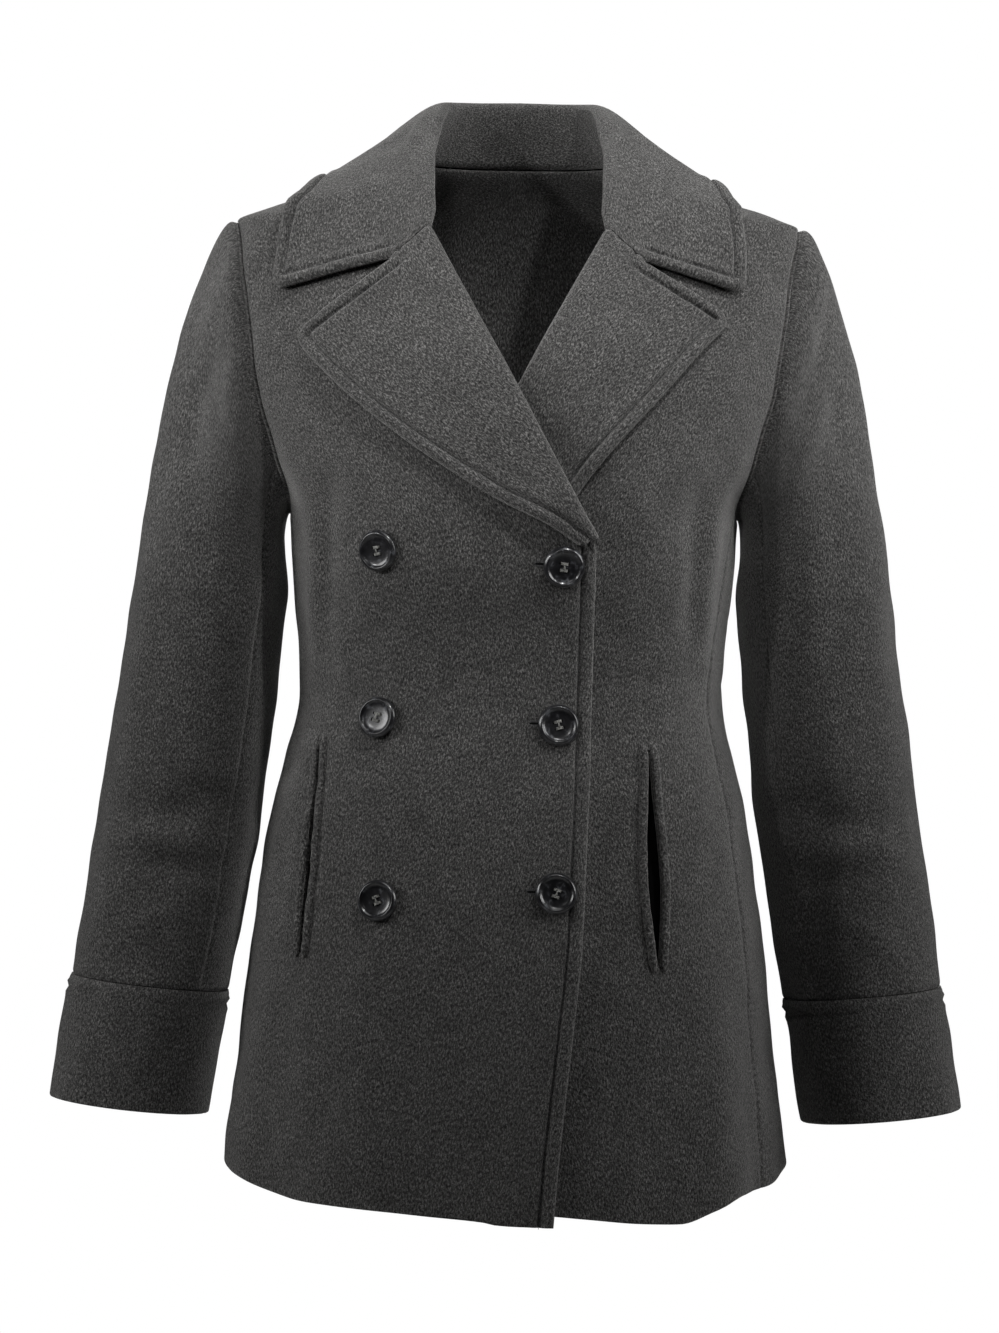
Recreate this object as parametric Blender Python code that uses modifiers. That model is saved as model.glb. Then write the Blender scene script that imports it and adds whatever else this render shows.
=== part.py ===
# Pea coat: a women's double-breasted wool coat, filled out as if worn, with nobody in it.
# Metres. -Y is the coat's front, +Z is up and +X is the wearer's left.
# The origin is the middle of the neck opening, level with the tops of the shoulder seams.
#
# The body is one surface, torso(angle, level). Angles run round it in degrees: 0 is the front
# centre, 90 the wearer's left side, 180 the back. Each body piece is a net of points on that
# surface between its own seams, and what lies on a piece is made from the same points, moved out.

import bpy
import bmesh
import numpy as np
from collections import Counter
from math import cos, pi, radians, sin
from mathutils import Matrix, Vector
from mathutils.bvhtree import BVHTree

# ---- cloth ----
BODY_WALL = 0.0025        # melton with its interlining
SLEEVE_WALL = 0.0022
COLLAR_WALL = 0.0034      # two layers of melton and canvas
WELT_WALL = 0.0018
BAG_WALL = 0.0010
HALF_SEAM = 0.00018       # each piece stops this short of its seam line

# ---- body levels ----
ARMHOLE_TOP = -0.0455
ARMHOLE_BOTTOM = -0.250
BREAK_LEVEL = -0.276      # where the lapels start to turn
NECK_FRONT_LEVEL = -0.059  # where the roll line meets the neck seam
NECK_FRONT_X = 0.062
NECK_BACK_LEVEL = 0.003
HEM_LEVEL = -0.725

# ---- how far round the armhole the front and the back reach, in degrees of the body ----
ARMHOLE_FRONT_REACH = 26.0
ARMHOLE_BACK_REACH = 29.0
SIDE_PANEL_HALF = 22.5    # the side panel's share of the armhole, each way from its lowest point

# ---- closing ----
EDGE_X = 0.0555           # the over front's edge at the break; the roll lines start here
UNDER_EDGE_X = 0.055
TUCK_LOW = 0.0042         # how far the under front sits inside the over front below the break
TUCK = 0.0062             # and beside the lapels
TUCK_DEEPER = (-0.300, -0.250)   # levels between which the one becomes the other
TUCK_ENDS = (-0.165, -0.095)
TUCK_WIDTH = (0.002, 0.050)      # how far past the over front's edge the tuck eases out
LIFT = 0.0038             # how far the over front stands up over the under lapel
LIFT_STARTS = (-0.290, -0.240)
LIFT_ENDS = (-0.160, -0.115)
LIFT_WIDTH = (0.016, 0.050)      # how far behind the roll line the lift eases out
LAP_GAP = 0.0011          # air between a lapel, or the collar, and the cloth below its edge
FLARE = 0.0022            # the edge of a lapel or the collar lifts this much more
FLARE_STARTS = (0.010, 0.040)    # the more so the further it is from the roll line
ROLL_RADIUS = 0.0034      # of the fold, at the middle of the cloth
ROLL_RISE = 0.0016        # from the panel's outer face up to where the fold starts to turn
ROLL_SET = 0.0006         # gap between the panel's edge and the cloth that rolls over it
ROLL_SUNK = 0.0013        # how far below the outer face that cloth starts

# ---- nets ----
LOWER_ROWS = 14           # hem to the foot of the armhole
ROLL_ROWS = 8             # break to the neck seam
NECK_ROWS = 6             # along half of the neck seam, to the shoulder
UPPER_ROWS = ROLL_ROWS + NECK_ROWS
FRONT_COLUMNS = 12
BACK_COLUMNS = 8
SIDE_COLUMNS = 4
LOOP = 2 * UPPER_ROWS + SIDE_COLUMNS   # points round an armhole and round a sleeve


def table(names, *rows):
    return dict(zip(names.split(), np.array(rows, float).T))


# Outline of the body at each level, seen from above: half its width, its depth in front of and
# behind the side line, and how square it is (2 is an ellipse).
TORSO = table(
    "level   half    front   back   square",
    (-0.800, 0.2005, 0.152, 0.153, 2.30),
    (-0.725, 0.1965, 0.147, 0.148, 2.30),
    (-0.690, 0.1935, 0.145, 0.146, 2.30),
    (-0.616, 0.1855, 0.138, 0.140, 2.30),
    (-0.532, 0.1765, 0.130, 0.131, 2.25),
    (-0.448, 0.1640, 0.119, 0.118, 2.20),
    (-0.416, 0.1560, 0.114, 0.110, 2.20),
    (-0.375, 0.1475, 0.110, 0.102, 2.15),
    (-0.340, 0.1490, 0.115, 0.102, 2.20),
    (-0.311, 0.1515, 0.123, 0.106, 2.25),
    (-0.280, 0.1540, 0.131, 0.111, 2.30),
    (-0.250, 0.1565, 0.134, 0.114, 2.30),
    (-0.210, 0.1750, 0.131, 0.115, 2.20),
    (-0.160, 0.1960, 0.121, 0.113, 2.10),
    (-0.110, 0.2040, 0.102, 0.109, 2.00),
    (-0.075, 0.2025, 0.083, 0.104, 2.00),
    (-0.0455, 0.1970, 0.063, 0.097, 2.00),
    (-0.0350, 0.1700, 0.054, 0.093, 2.00),
    (-0.021, 0.1300, 0.044, 0.087, 2.00),
    (-0.010, 0.1020, 0.036, 0.081, 2.00),
    (0.000, 0.0800, 0.028, 0.076, 2.00),
    (0.020, 0.0700, 0.024, 0.070, 2.00),
)

# Seams that run down the body: the front one and the back one of each side panel, in degrees.
# The closing is pulled towards the wearer's right, and the seams go with it.
SEAMS = table(
    "level   front_left back_left front_right back_right",
    (-0.725, 65.0, 108.0, -84.0, -120.0),
    (-0.500, 64.0, 108.0, -85.0, -120.0),
    (-0.375, 65.0, 108.0, -85.0, -119.0),
    (-0.300, 69.0, 106.0, -81.5, -113.0),
    (-0.243, 77.3, 104.1, -77.3, -104.1),
)

# Hem level round each half of the body: 0 front centre, 180 back centre, less than 0 past the front
# centre. The closing pulls the left half up.
HEM = table(
    "angle   right    left",
    (-8.0, -0.7250, -0.7165),
    (0.0, -0.7240, -0.7165),
    (3.0, -0.7215, -0.7167),
    (14.0, -0.7184, -0.7197),
    (26.0, -0.7160, -0.7231),
    (34.0, -0.7150, -0.7240),
    (43.0, -0.7138, -0.7166),
    (53.0, -0.7100, -0.7083),
    (67.0, -0.7020, -0.7062),
    (80.0, -0.6945, -0.6990),
    (95.0, -0.6915, -0.6950),
    (130.0, -0.6950, -0.6970),
    (180.0, -0.7020, -0.7020),
)

# Neck seam in front, from the shoulder seam to the roll line.
NECK = table(
    "part    x       level",
    (0.00, 0.0800, 0.0000),
    (0.25, 0.0768, -0.0095),
    (0.50, 0.0722, -0.0265),
    (0.75, 0.0675, -0.0425),
    (1.00, 0.0620, -0.0590),
)

# Free front edge of the front that laps over.
FRONT_EDGE = table(
    "level   x",
    (-0.725, 0.0335),
    (-0.685, 0.0364),
    (-0.641, 0.0407),
    (-0.597, 0.0450),
    (-0.550, 0.0495),
    (-0.510, 0.0515),
    (-0.390, 0.0545),
    (-0.276, 0.0555),
)

# The largest folds of the body: where each one is, how wide and how long, and how far it stands out.
FOLDS = table(
    "angle   level   wide  long   depth",
    (-69.0, -0.740, 9.0, 0.150, 0.0065),
    (-50.0, -0.740, 8.0, 0.130, -0.0030),
    (-27.0, -0.760, 11.0, 0.120, 0.0025),
    (47.0, -0.745, 9.0, 0.160, 0.0060),
    (62.0, -0.740, 6.5, 0.120, -0.0035),
    (84.0, -0.750, 9.0, 0.140, 0.0040),
    (126.0, -0.745, 10.0, 0.170, 0.0065),
    (148.0, -0.745, 9.0, 0.120, -0.0035),
    (-141.0, -0.745, 11.0, 0.180, 0.0060),
    (-165.0, -0.750, 9.0, 0.110, -0.0030),
    (176.0, -0.755, 8.0, 0.130, 0.0030),
    (-60.0, -0.225, 7.0, 0.045, 0.0035),
    (60.0, -0.230, 6.5, 0.040, 0.0030),
)

# Arms, from the cuff's edge up: each ring's centre, half its width and depth, and its tilt.
ARM = table(
    "level   x       y       across  deep    tilt",
    (-0.661, 0.2612, -0.0200, 0.0545, 0.0440, 0.10),
    (-0.616, 0.2547, -0.0140, 0.0549, 0.0445, 0.10),
    (-0.574, 0.2480, -0.0080, 0.0546, 0.0460, 0.10),
    (-0.532, 0.2418, -0.0020, 0.0560, 0.0505, 0.10),
    (-0.448, 0.2290, 0.0050, 0.0562, 0.0565, 0.10),
    (-0.375, 0.2197, 0.0060, 0.0550, 0.0595, 0.10),
    (-0.305, 0.2116, 0.0040, 0.0538, 0.0615, 0.10),
)
ARM_TOP = -0.305
CUFF_SEAM = -0.577
CUFF_EDGE = -0.661
CUFF_PROUD = 0.0010       # the cuff stands this far out from the sleeve
SLEEVE_INSET = 0.0005     # the sleeve's edge stands this far inside the armhole seam
SLEEVE_SUNK = 0.0015      # it starts this far inside the body's outer face
SLEEVE_STAND = 0.0014     # and turns into the cap this far outside it
# How the cap sets off, at its foot and at its head: partly straight out of the body, partly the way
# of the lean on the wearer's left. Puff and drop are the pulls of its two ends, as shares of its length.
CAP_HEAD = (0.2, 0.9)     # the head comes in where the cosine of the place round the sleeve is past these
CAP_NORMAL = (0.45, 0.0)
CAP_LEAN = ((0.55, 0.0, -0.20), (1.0, 0.0, 0.20))
CAP_PUFF = (0.385, 0.300)
CAP_DROP = (1.08, 0.42)
CAP_ROWS = 8
ARM_ROWS = 9
CUFF_ROWS = 3
FRONT_SLEEVE_SEAM = 12    # points round the sleeve from its top, going forward
BACK_SLEEVE_SEAM = 22

# The largest folds of the sleeves: how far round (0 outside, 90 front, 180 inside, 270 back).
SLEEVE_FOLDS = table(
    "angle   level   wide  long   depth",
    (20.0, -0.150, 24.0, 0.060, 0.0030),
    (62.0, -0.180, 16.0, 0.055, -0.0032),
    (100.0, -0.210, 18.0, 0.050, 0.0025),
    (95.0, -0.455, 40.0, 0.013, -0.0034),
    (110.0, -0.495, 42.0, 0.012, -0.0030),
    (80.0, -0.475, 40.0, 0.010, 0.0016),
    (300.0, -0.170, 20.0, 0.060, -0.0028),
    (262.0, -0.440, 45.0, 0.020, 0.0026),
)

# Roll line of the collar, back centre to the front of the neck, on the wearer's left.
COLLAR_ROLL = table(
    "part    x       y       z",
    (0.00, 0.0000, 0.0740, 0.0500),
    (0.12, 0.0240, 0.0725, 0.0495),
    (0.25, 0.0440, 0.0620, 0.0480),
    (0.37, 0.0555, 0.0430, 0.0450),
    (0.50, 0.0595, 0.0230, 0.0350),
    (0.62, 0.0630, 0.0020, 0.0180),
    (0.74, 0.0655, -0.0235, 0.0005),
    (0.87, 0.0650, -0.0505, -0.0270),
    (1.00, 0.0625, -0.0710, -0.0570),
)
# Outer edge of the collar where it lies on the body: back centre to the tip.
COLLAR_EDGE = table(
    "part    left    right   level",
    (0.00, 180.0, 180.0, -0.0400),
    (0.20, 152.0, 152.0, -0.0395),
    (0.38, 126.0, 126.0, -0.0330),
    (0.50, 106.0, 106.0, -0.0260),
    (0.60, 90.0, 90.0, -0.0240),
    (0.72, 69.0, 70.0, -0.0298),
    (0.82, 50.0, 53.5, -0.0480),
    (0.91, 49.2, 53.5, -0.0725),
    (1.00, 48.5, 53.6, -0.1000),
)
# Gorge seam: from the roll line out to the notch the collar and the lapel meet along it.
NOTCH_X = 0.0850
NOTCH_LEVEL = -0.0805
NOTCH_PART = 0.30         # share of the way from the roll line to a tip
COLLAR_TIPS = {"right": (-0.1645, -0.1020), "left": (0.1530, -0.1000)}
# Outer edges of the lapels, from the foot up to the tip. The left one starts under the right one.
LAPEL_EDGES = {
    "right": table(
        "part    x       level",
        (0.00, 0.0420, -0.2720),
        (0.12, 0.0240, -0.2600),
        (0.27, -0.0100, -0.2440),
        (0.42, -0.0440, -0.2235),
        (0.57, -0.0780, -0.2000),
        (0.78, -0.1190, -0.1660),
        (0.95, -0.1455, -0.1375),
        (1.00, -0.1490, -0.1310),
    ),
    "left": table(
        "part    x       level",
        (0.00, 0.0300, -0.2575),
        (0.14, 0.0420, -0.2400),
        (0.30, 0.0570, -0.2180),
        (0.62, 0.0950, -0.1740),
        (0.84, 0.1220, -0.1420),
        (0.96, 0.1405, -0.1215),
        (1.00, 0.1440, -0.1160),
    ),
}
LAPEL_FOOT = {"right": -0.2680, "left": -0.1885}   # where each one's roll line starts
LAPEL_ROWS = 10
FOLD_COLUMNS = 3
FALL_COLUMNS = 7
COLLAR_FOLD_RADIUS = 0.0054
COLLAR_FOLD_START = -75.0        # degrees round the fold, 0 where the fall begins
COLLAR_INSET = 0.0005            # the stand's foot stands this far inside the neck seam
COLLAR_INSET_TURNED = 0.0022     # and this much more where the stand leaves straight out of the body
COLLAR_SHOULDER_LIFT = 0.0018
COLLAR_AIR = 0.0010
GORGE_SHIFT = 0.0005             # between the lapel's end and the collar's
FALL_LEAVES = 0.020              # pull of each end on the fall's curve
FALL_ARRIVES = 0.022
FALL_BEFORE = 0.85               # place along the fall that its end is aimed from
# Places of the collar's columns down its fall.
FALL_STEPS = (0.09, 0.22, 0.37, 0.54, 0.70, 0.86, 1.0)

# ---- pockets: the middle line of each slit, top and bottom ----
SLIT_WIDTH = 0.0038
WELT_WIDTH = 0.0058
WELT_GAP = 0.0006
BAG_GAP = 0.0010
BAG_BEHIND = 0.015        # how far the bag reaches past the slit, to the side and to the front
BAG_FORWARD = 0.060
BAG_PAST = 0.014          # and past its ends
BAG_COLUMNS = 5
WELT_PAST = 0.003         # how far the welts run past the slit's ends
SLIT_CUT = (0.004, -0.005)       # the cutter's outer and inner face, from the front's outer face
POCKETS = {
    "right": ((-0.1290, -0.4070), (-0.1395, -0.5490)),
    "left": ((0.0935, -0.4090), (0.1015, -0.5530)),
}
POCKET_ROWS = 10

# ---- buttons ----
BUTTON_RADIUS = 0.0140
BUTTON_FOOT = 0.0128      # radius of its flat back
BUTTON_GAP = 0.0003
BUTTON_STEPS = 20
BUTTON_HOLE_RADIUS = 0.0011
BUTTON_HOLE_OFFSET = 0.0027
BUTTON_DRILL = 0.010      # length of the cutter of each hole
SEAT_RAYS = 36            # places round the foot where the cloth's height is felt
SEAT_START = 0.02
BUTTON_PLACES = {
    "button_right_top": (-0.0900, -0.2775),
    "button_right_middle": (-0.0888, -0.3900),
    "button_right_bottom": (-0.0868, -0.5120),
    "button_left_top": (0.0335, -0.2865),
    "button_left_middle": (0.0318, -0.3930),
    "button_left_bottom": (0.0318, -0.5050),
}
# Half section of a button, from the middle of its face out, round the rim and back underneath.
BUTTON_PROFILE = (
    (0.0000, 0.0026),
    (0.0070, 0.0028),
    (0.0098, 0.0036),
    (0.0118, 0.0046),
    (0.0134, 0.0042),
    (BUTTON_RADIUS, 0.0028),
    (BUTTON_FOOT, 0.0000),
    (0.0000, 0.0000),
)

SHARP_ANGLE = 40.0        # edges turned more than this stay sharp
WOOL = (0.052, 0.052, 0.056)
WOOL_DARK = (0.030, 0.030, 0.033)
HORN = (0.012, 0.012, 0.013)


# ---- reading the tables ----

def read(rows, name, at):
    """A column's value at places along the table's first column: smooth, with no overshoot."""
    x = next(iter(rows.values()))
    y = rows[name]
    step = np.diff(x)
    slope = np.diff(y) / step
    same = slope[:-1] * slope[1:] > 0
    total = np.where(same, slope[:-1] + slope[1:], 1)
    middle = np.where(same, 2 * slope[:-1] * slope[1:] / total, 0)
    tangent = np.concatenate(([slope[0]], middle, [slope[-1]]))
    at = np.clip(at, x[0], x[-1])
    i = np.clip(np.searchsorted(x, at, side="right") - 1, 0, len(step) - 1)
    t = (at - x[i]) / step[i]
    values = (1 + 2 * t) * (1 - t) ** 2 * y[i] + t * t * (3 - 2 * t) * y[i + 1]
    return values + step[i] * (t * (1 - t) ** 2 * tangent[i] + t * t * (t - 1) * tangent[i + 1])


def ease(value, start, end):
    t = np.clip((value - start) / (end - start), 0, 1)
    return t * t * (3 - 2 * t)


def mix(a, b, t):
    return a + (b - a) * t


def unit(vectors):
    return vectors / np.linalg.norm(vectors, axis=-1, keepdims=True)


def bumps(folds, angle, level):
    """How far the folds of a table stand out at each place."""
    out = np.zeros(np.broadcast(angle, level).shape)
    for middle, height, wide, long, depth in zip(*folds.values()):
        turn = (angle - middle + 180) % 360 - 180
        out = out + depth * np.exp(-(turn / wide) ** 2 - ((level - height) / long) ** 2)
    return out


# ---- the body's surface ----

def plain_torso(angle, level):
    """Points on the body's outer face before any fold."""
    angle, level = np.broadcast_arrays(np.asarray(angle, float), np.asarray(level, float))
    across, ahead = np.sin(np.radians(angle)), np.cos(np.radians(angle))
    depth = np.where(ahead > 0, read(TORSO, "front", level), read(TORSO, "back", level))
    power = 2 / read(TORSO, "square", level)
    x = read(TORSO, "half", level) * np.sign(across) * np.abs(across) ** power
    y = -depth * np.sign(ahead) * np.abs(ahead) ** power
    return np.stack([x, y, level], -1)


def torso_normal(angle, level):
    turn = plain_torso(angle + 0.5, level) - plain_torso(angle - 0.5, level)
    rise = plain_torso(angle, level + 0.001) - plain_torso(angle, level - 0.001)
    return unit(np.cross(turn, rise))


def torso(angle, level, out=0.0):
    """Points on the body, folds included, moved out from its outer face."""
    away = bumps(FOLDS, angle, level) + out
    return plain_torso(angle, level) + torso_normal(angle, level) * away[..., None]


def angle_at(x, level):
    """Angle of the front's point that lies at x."""
    share = np.clip(np.abs(x) / read(TORSO, "half", level), 0, 1)
    return np.degrees(np.arcsin(share ** (read(TORSO, "square", level) / 2))) * np.sign(x)


def roll_x(level):
    """The over front's roll line, from the break to the neck seam."""
    return EDGE_X - (NECK_FRONT_X + EDGE_X) * (level - BREAK_LEVEL) / (NECK_FRONT_LEVEL - BREAK_LEVEL)


def over_edge_x(level):
    return np.where(level < BREAK_LEVEL, read(FRONT_EDGE, "x", level), roll_x(level))


def under_edge_x(level):
    rise = np.clip((level - BREAK_LEVEL) / (NECK_FRONT_LEVEL - BREAK_LEVEL), 0, 1)
    return -UNDER_EDGE_X + (NECK_FRONT_X + UNDER_EDGE_X) * rise


def front_out(side, x, level):
    """How far a front's outer face stands off the body: up over the under lapel, or tucked in."""
    if side < 0:
        near = 1 - ease(roll_x(level) - x, *LIFT_WIDTH)
        return LIFT * near * ease(level, *LIFT_STARTS) * (1 - ease(level, *LIFT_ENDS))
    past = x - over_edge_x(level)
    tuck = mix(TUCK_LOW, TUCK, ease(level, *TUCK_DEEPER))
    return -tuck * (1 - ease(past, *TUCK_WIDTH)) * (1 - ease(level, *TUCK_ENDS))


# ---- nets of the body pieces: an angle and a level for each point ----

def hem_level(side, angle):
    return read(HEM, "left" if side > 0 else "right", side * angle)


def armhole(turn):
    """Angle and level round the left armhole: 0 its top, 90 the front, 180 its foot."""
    swing = np.sin(np.radians(turn))
    reach = np.where(swing >= 0, ARMHOLE_FRONT_REACH, -ARMHOLE_BACK_REACH)
    middle = (ARMHOLE_TOP + ARMHOLE_BOTTOM) / 2
    height = (ARMHOLE_TOP - ARMHOLE_BOTTOM) / 2
    return 90 - reach * np.abs(swing) ** 0.75, middle + height * np.cos(np.radians(turn))


def neck_seam(part):
    """Angle and level of the left half of the neck seam: 0 back centre, 0.5 shoulder, 1 front."""
    forward = np.clip(2 * part - 1, 0, 1)
    level = read(NECK, "level", forward)
    front = angle_at(read(NECK, "x", forward), level)
    back = 180 - 180 * np.clip(part, 0, 0.5)
    back_level = NECK_BACK_LEVEL * ease(back, 90, 180)
    return np.where(part > 0.5, front, back), np.where(part > 0.5, level, back_level)


def seam_line(name, rows):
    """A body seam from the hem up to the armhole."""
    foot = armhole(180 - SIDE_PANEL_HALF)[1]
    start = hem_level(np.sign(SEAMS[name][0]), SEAMS[name][0])
    level = mix(start, foot, rows)
    return read(SEAMS, name, level), level


def fill(side, inner, outer, columns):
    """A net with straight rows between two lines, its first row moved on to the hem."""
    share = np.linspace(0, 1, columns + 1)
    angle = mix(inner[0][:, None], outer[0][:, None], share)
    level = mix(inner[1][:, None], outer[1][:, None], share)
    rows = np.arange(len(angle))[:, None] / LOWER_ROWS
    drop = hem_level(side, angle) - level[0]
    return angle, level + drop * np.clip(1 - rows * 1.6, 0, 1) ** 2


def front_net(side):
    lower = np.linspace(0, 1, LOWER_ROWS + 1)
    upper = np.linspace(0, 1, ROLL_ROWS + 1)[1:]
    around = np.linspace(0.5, 1, NECK_ROWS + 1)[-2::-1]
    level = np.concatenate([
        mix(HEM_LEVEL, BREAK_LEVEL, lower),
        mix(BREAK_LEVEL, NECK_FRONT_LEVEL, upper),
    ])
    x = over_edge_x(level) if side < 0 else under_edge_x(level)
    neck_angle, neck_level = neck_seam(around)
    inner = (
        np.concatenate([angle_at(x, level), side * neck_angle]),
        np.concatenate([level, neck_level]),
    )
    seam = seam_line("front_left" if side > 0 else "front_right", lower)
    turns = np.linspace(180 - SIDE_PANEL_HALF, 0, UPPER_ROWS + 1)[1:]
    arm_angle, arm_level = armhole(turns)
    outer = (
        np.concatenate([seam[0], side * arm_angle]),
        np.concatenate([seam[1], arm_level]),
    )
    return fill(side, inner, outer, FRONT_COLUMNS)


def back_net(side):
    lower = np.linspace(0, 1, LOWER_ROWS + 1)
    upper = np.linspace(0, 1, ROLL_ROWS + 1)[1:]
    around = np.linspace(0, 0.5, NECK_ROWS + 1)[1:]
    foot = armhole(180)[1]
    neck_angle, neck_level = neck_seam(around)
    inner = (
        side * np.concatenate([np.full(LOWER_ROWS + ROLL_ROWS + 1, 180.0), neck_angle]),
        np.concatenate([mix(hem_level(side, side * 180), foot, lower), mix(foot, NECK_BACK_LEVEL, upper), neck_level]),
    )
    seam = seam_line("back_left" if side > 0 else "back_right", lower)
    turns = np.linspace(180 + SIDE_PANEL_HALF, 360, UPPER_ROWS + 1)[1:]
    arm_angle, arm_level = armhole(turns)
    outer = (
        np.concatenate([seam[0], side * arm_angle]),
        np.concatenate([seam[1], arm_level]),
    )
    return fill(side, inner, outer, BACK_COLUMNS)


def side_net(side):
    lower = np.linspace(0, 1, LOWER_ROWS + 1)
    names = ("front_left", "back_left") if side > 0 else ("front_right", "back_right")
    seams = [seam_line(name, lower) for name in names]
    angle, level = fill(side, *seams, SIDE_COLUMNS)
    turns = np.linspace(180 - SIDE_PANEL_HALF, 180 + SIDE_PANEL_HALF, SIDE_COLUMNS + 1)
    arm_angle, arm_level = armhole(turns)
    near = ease(lower, 0.45, 1)[:, None]
    angle = angle + near * (side * arm_angle - angle[-1])
    return angle, level + near * (arm_level - level[-1])


# ---- walls and objects ----

def drawn_in(points, skip=()):
    """The same net with its edges moved in by half a seam gap."""
    moved = points.copy()
    edges = {
        "hem": (np.s_[0], np.s_[1]),
        "top": (np.s_[-1], np.s_[-2]),
        "inner": (np.s_[:, 0], np.s_[:, 1]),
        "outer": (np.s_[:, -1], np.s_[:, -2]),
    }
    for name, (edge, neighbour) in edges.items():
        if name not in skip:
            moved[edge] += unit(points[neighbour] - points[edge]) * HALF_SEAM
    return moved


def net_normals(points, closed=False):
    """Normals of a net from its own neighbours; closed when its columns run all the way round."""
    along = np.gradient(points, axis=0)
    if closed:
        steps = unit(np.roll(points, -1, axis=1) - points)
        across = steps + np.roll(steps, 1, axis=1)
    else:
        steps = unit(np.diff(points, axis=1))
        across = np.concatenate([steps[:, :1], steps[:, 1:] + steps[:, :-1], steps[:, -1:]], axis=1)
    return unit(np.cross(across, along))


def material(name, colour, roughness):
    made = bpy.data.materials.new(name)
    made.use_nodes = True
    shader = made.node_tree.nodes["Principled BSDF"]
    shader.inputs["Base Color"].default_value = (*colour, 1)
    shader.inputs["Roughness"].default_value = roughness
    shader.inputs["Metallic"].default_value = 0
    return made


def place(name, mesh, collection, colour=WOOL, roughness=0.9):
    made = bpy.data.objects.new(name, mesh)
    mesh.materials.clear()
    mesh.materials.append(material(name + "_surface", colour, roughness))
    mesh.shade_smooth()
    mesh.set_sharp_from_angle(angle=radians(SHARP_ANGLE))
    collection.objects.link(made)
    return made


def wall_mesh(name, nets):
    """A closed wall from pairs of nets, one face and the other, welded where their points meet."""
    ids = {}
    near, far, faces = [], [], []
    for face, back in nets:
        rows, columns = face.shape[:2]
        index = np.empty((rows, columns), int)
        for row in range(rows):
            for column in range(columns):
                key = tuple(np.round(face[row, column], 6) + 0.0)
                if key not in ids:
                    ids[key] = len(near)
                    near.append(face[row, column])
                    far.append(back[row, column])
                index[row, column] = ids[key]
        for row in range(rows - 1):
            for column in range(columns - 1):
                corners = [index[row, column], index[row, column + 1],
                           index[row + 1, column + 1], index[row + 1, column]]
                corners = [c for i, c in enumerate(corners) if c != corners[i - 1]]
                if len(corners) > 2:
                    faces.append(corners)
    uses = Counter()
    for corners in faces:
        for i, corner in enumerate(corners):
            uses[frozenset((corner, corners[i - 1]))] += 1
    count = len(near)
    solid = list(faces)
    for corners in faces:
        solid.append([c + count for c in reversed(corners)])
        for i, corner in enumerate(corners):
            before = corners[i - 1]
            if uses[frozenset((corner, before))] == 1:
                solid.append([corner, before, before + count, corner + count])
    mesh = bpy.data.meshes.new(name)
    mesh.from_pydata([tuple(p) for p in near + far], [], [[int(c) for c in f] for f in solid])
    shape = bmesh.new()
    shape.from_mesh(mesh)
    bmesh.ops.recalc_face_normals(shape, faces=shape.faces)
    shape.to_mesh(mesh)
    shape.free()
    return mesh


def sheet_mesh(name, middle, normals, thickness):
    """A closed sheet, half its thickness to each side of a middle net."""
    return wall_mesh(name, [[drawn_in(middle + normals * thickness / 2 * way) for way in (1, -1)]])


# ---- body ----

def build_front(side, collection):
    angle, level = front_net(side)
    out = front_out(side, plain_torso(angle, level)[..., 0], level)
    nets = [(drawn_in(torso(angle, level, out)), drawn_in(torso(angle, level, out - BODY_WALL)))]
    name = "front_left" if side > 0 else "front_right"
    return place(name, wall_mesh(name, nets), collection)


def build_back(collection):
    nets = []
    for side in (1, -1):
        angle, level = back_net(side)
        nets.append([drawn_in(torso(angle, level, out), ("inner",)) for out in (0.0, -BODY_WALL)])
    return place("back", wall_mesh("back", nets), collection)


def build_side(side, collection):
    angle, level = side_net(side)
    nets = [[drawn_in(torso(angle, level, out)) for out in (0.0, -BODY_WALL)]]
    name = "side_left" if side > 0 else "side_right"
    return place(name, wall_mesh(name, nets), collection)


# ---- sleeves ----

def arm_ring(turn, level, side):
    """Points round the arm at one height of its middle."""
    out, ahead = np.cos(np.radians(turn)), np.sin(np.radians(turn))
    across = read(ARM, "across", level) * out
    x = read(ARM, "x", level) + across
    y = read(ARM, "y", level) - read(ARM, "deep", level) * ahead
    return np.stack([side * x, y, level + read(ARM, "tilt", level) * across], -1)


def sleeve_start(turn, side):
    """Where the sleeve stands in the armhole, and which way it sets off."""
    angle, level = armhole(turn)
    point = torso(side * angle, level)
    normal = torso_normal(side * angle, level)
    ahead = [torso(side * a, l) for a, l in (armhole(turn + 0.5), armhole(turn - 0.5))]
    inward = unit(np.cross(normal, ahead[0] - ahead[1])) * side
    foot = point + inward * SLEEVE_INSET
    head = ease(np.cos(np.radians(turn)), *CAP_HEAD)[:, None]
    lean = mix(*(np.array(way) * (side, 1, 1) for way in CAP_LEAN), head)
    heading = unit(mix(*CAP_NORMAL, head) * normal + lean)
    return foot - normal * SLEEVE_SUNK, foot + normal * SLEEVE_STAND, heading, head


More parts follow.
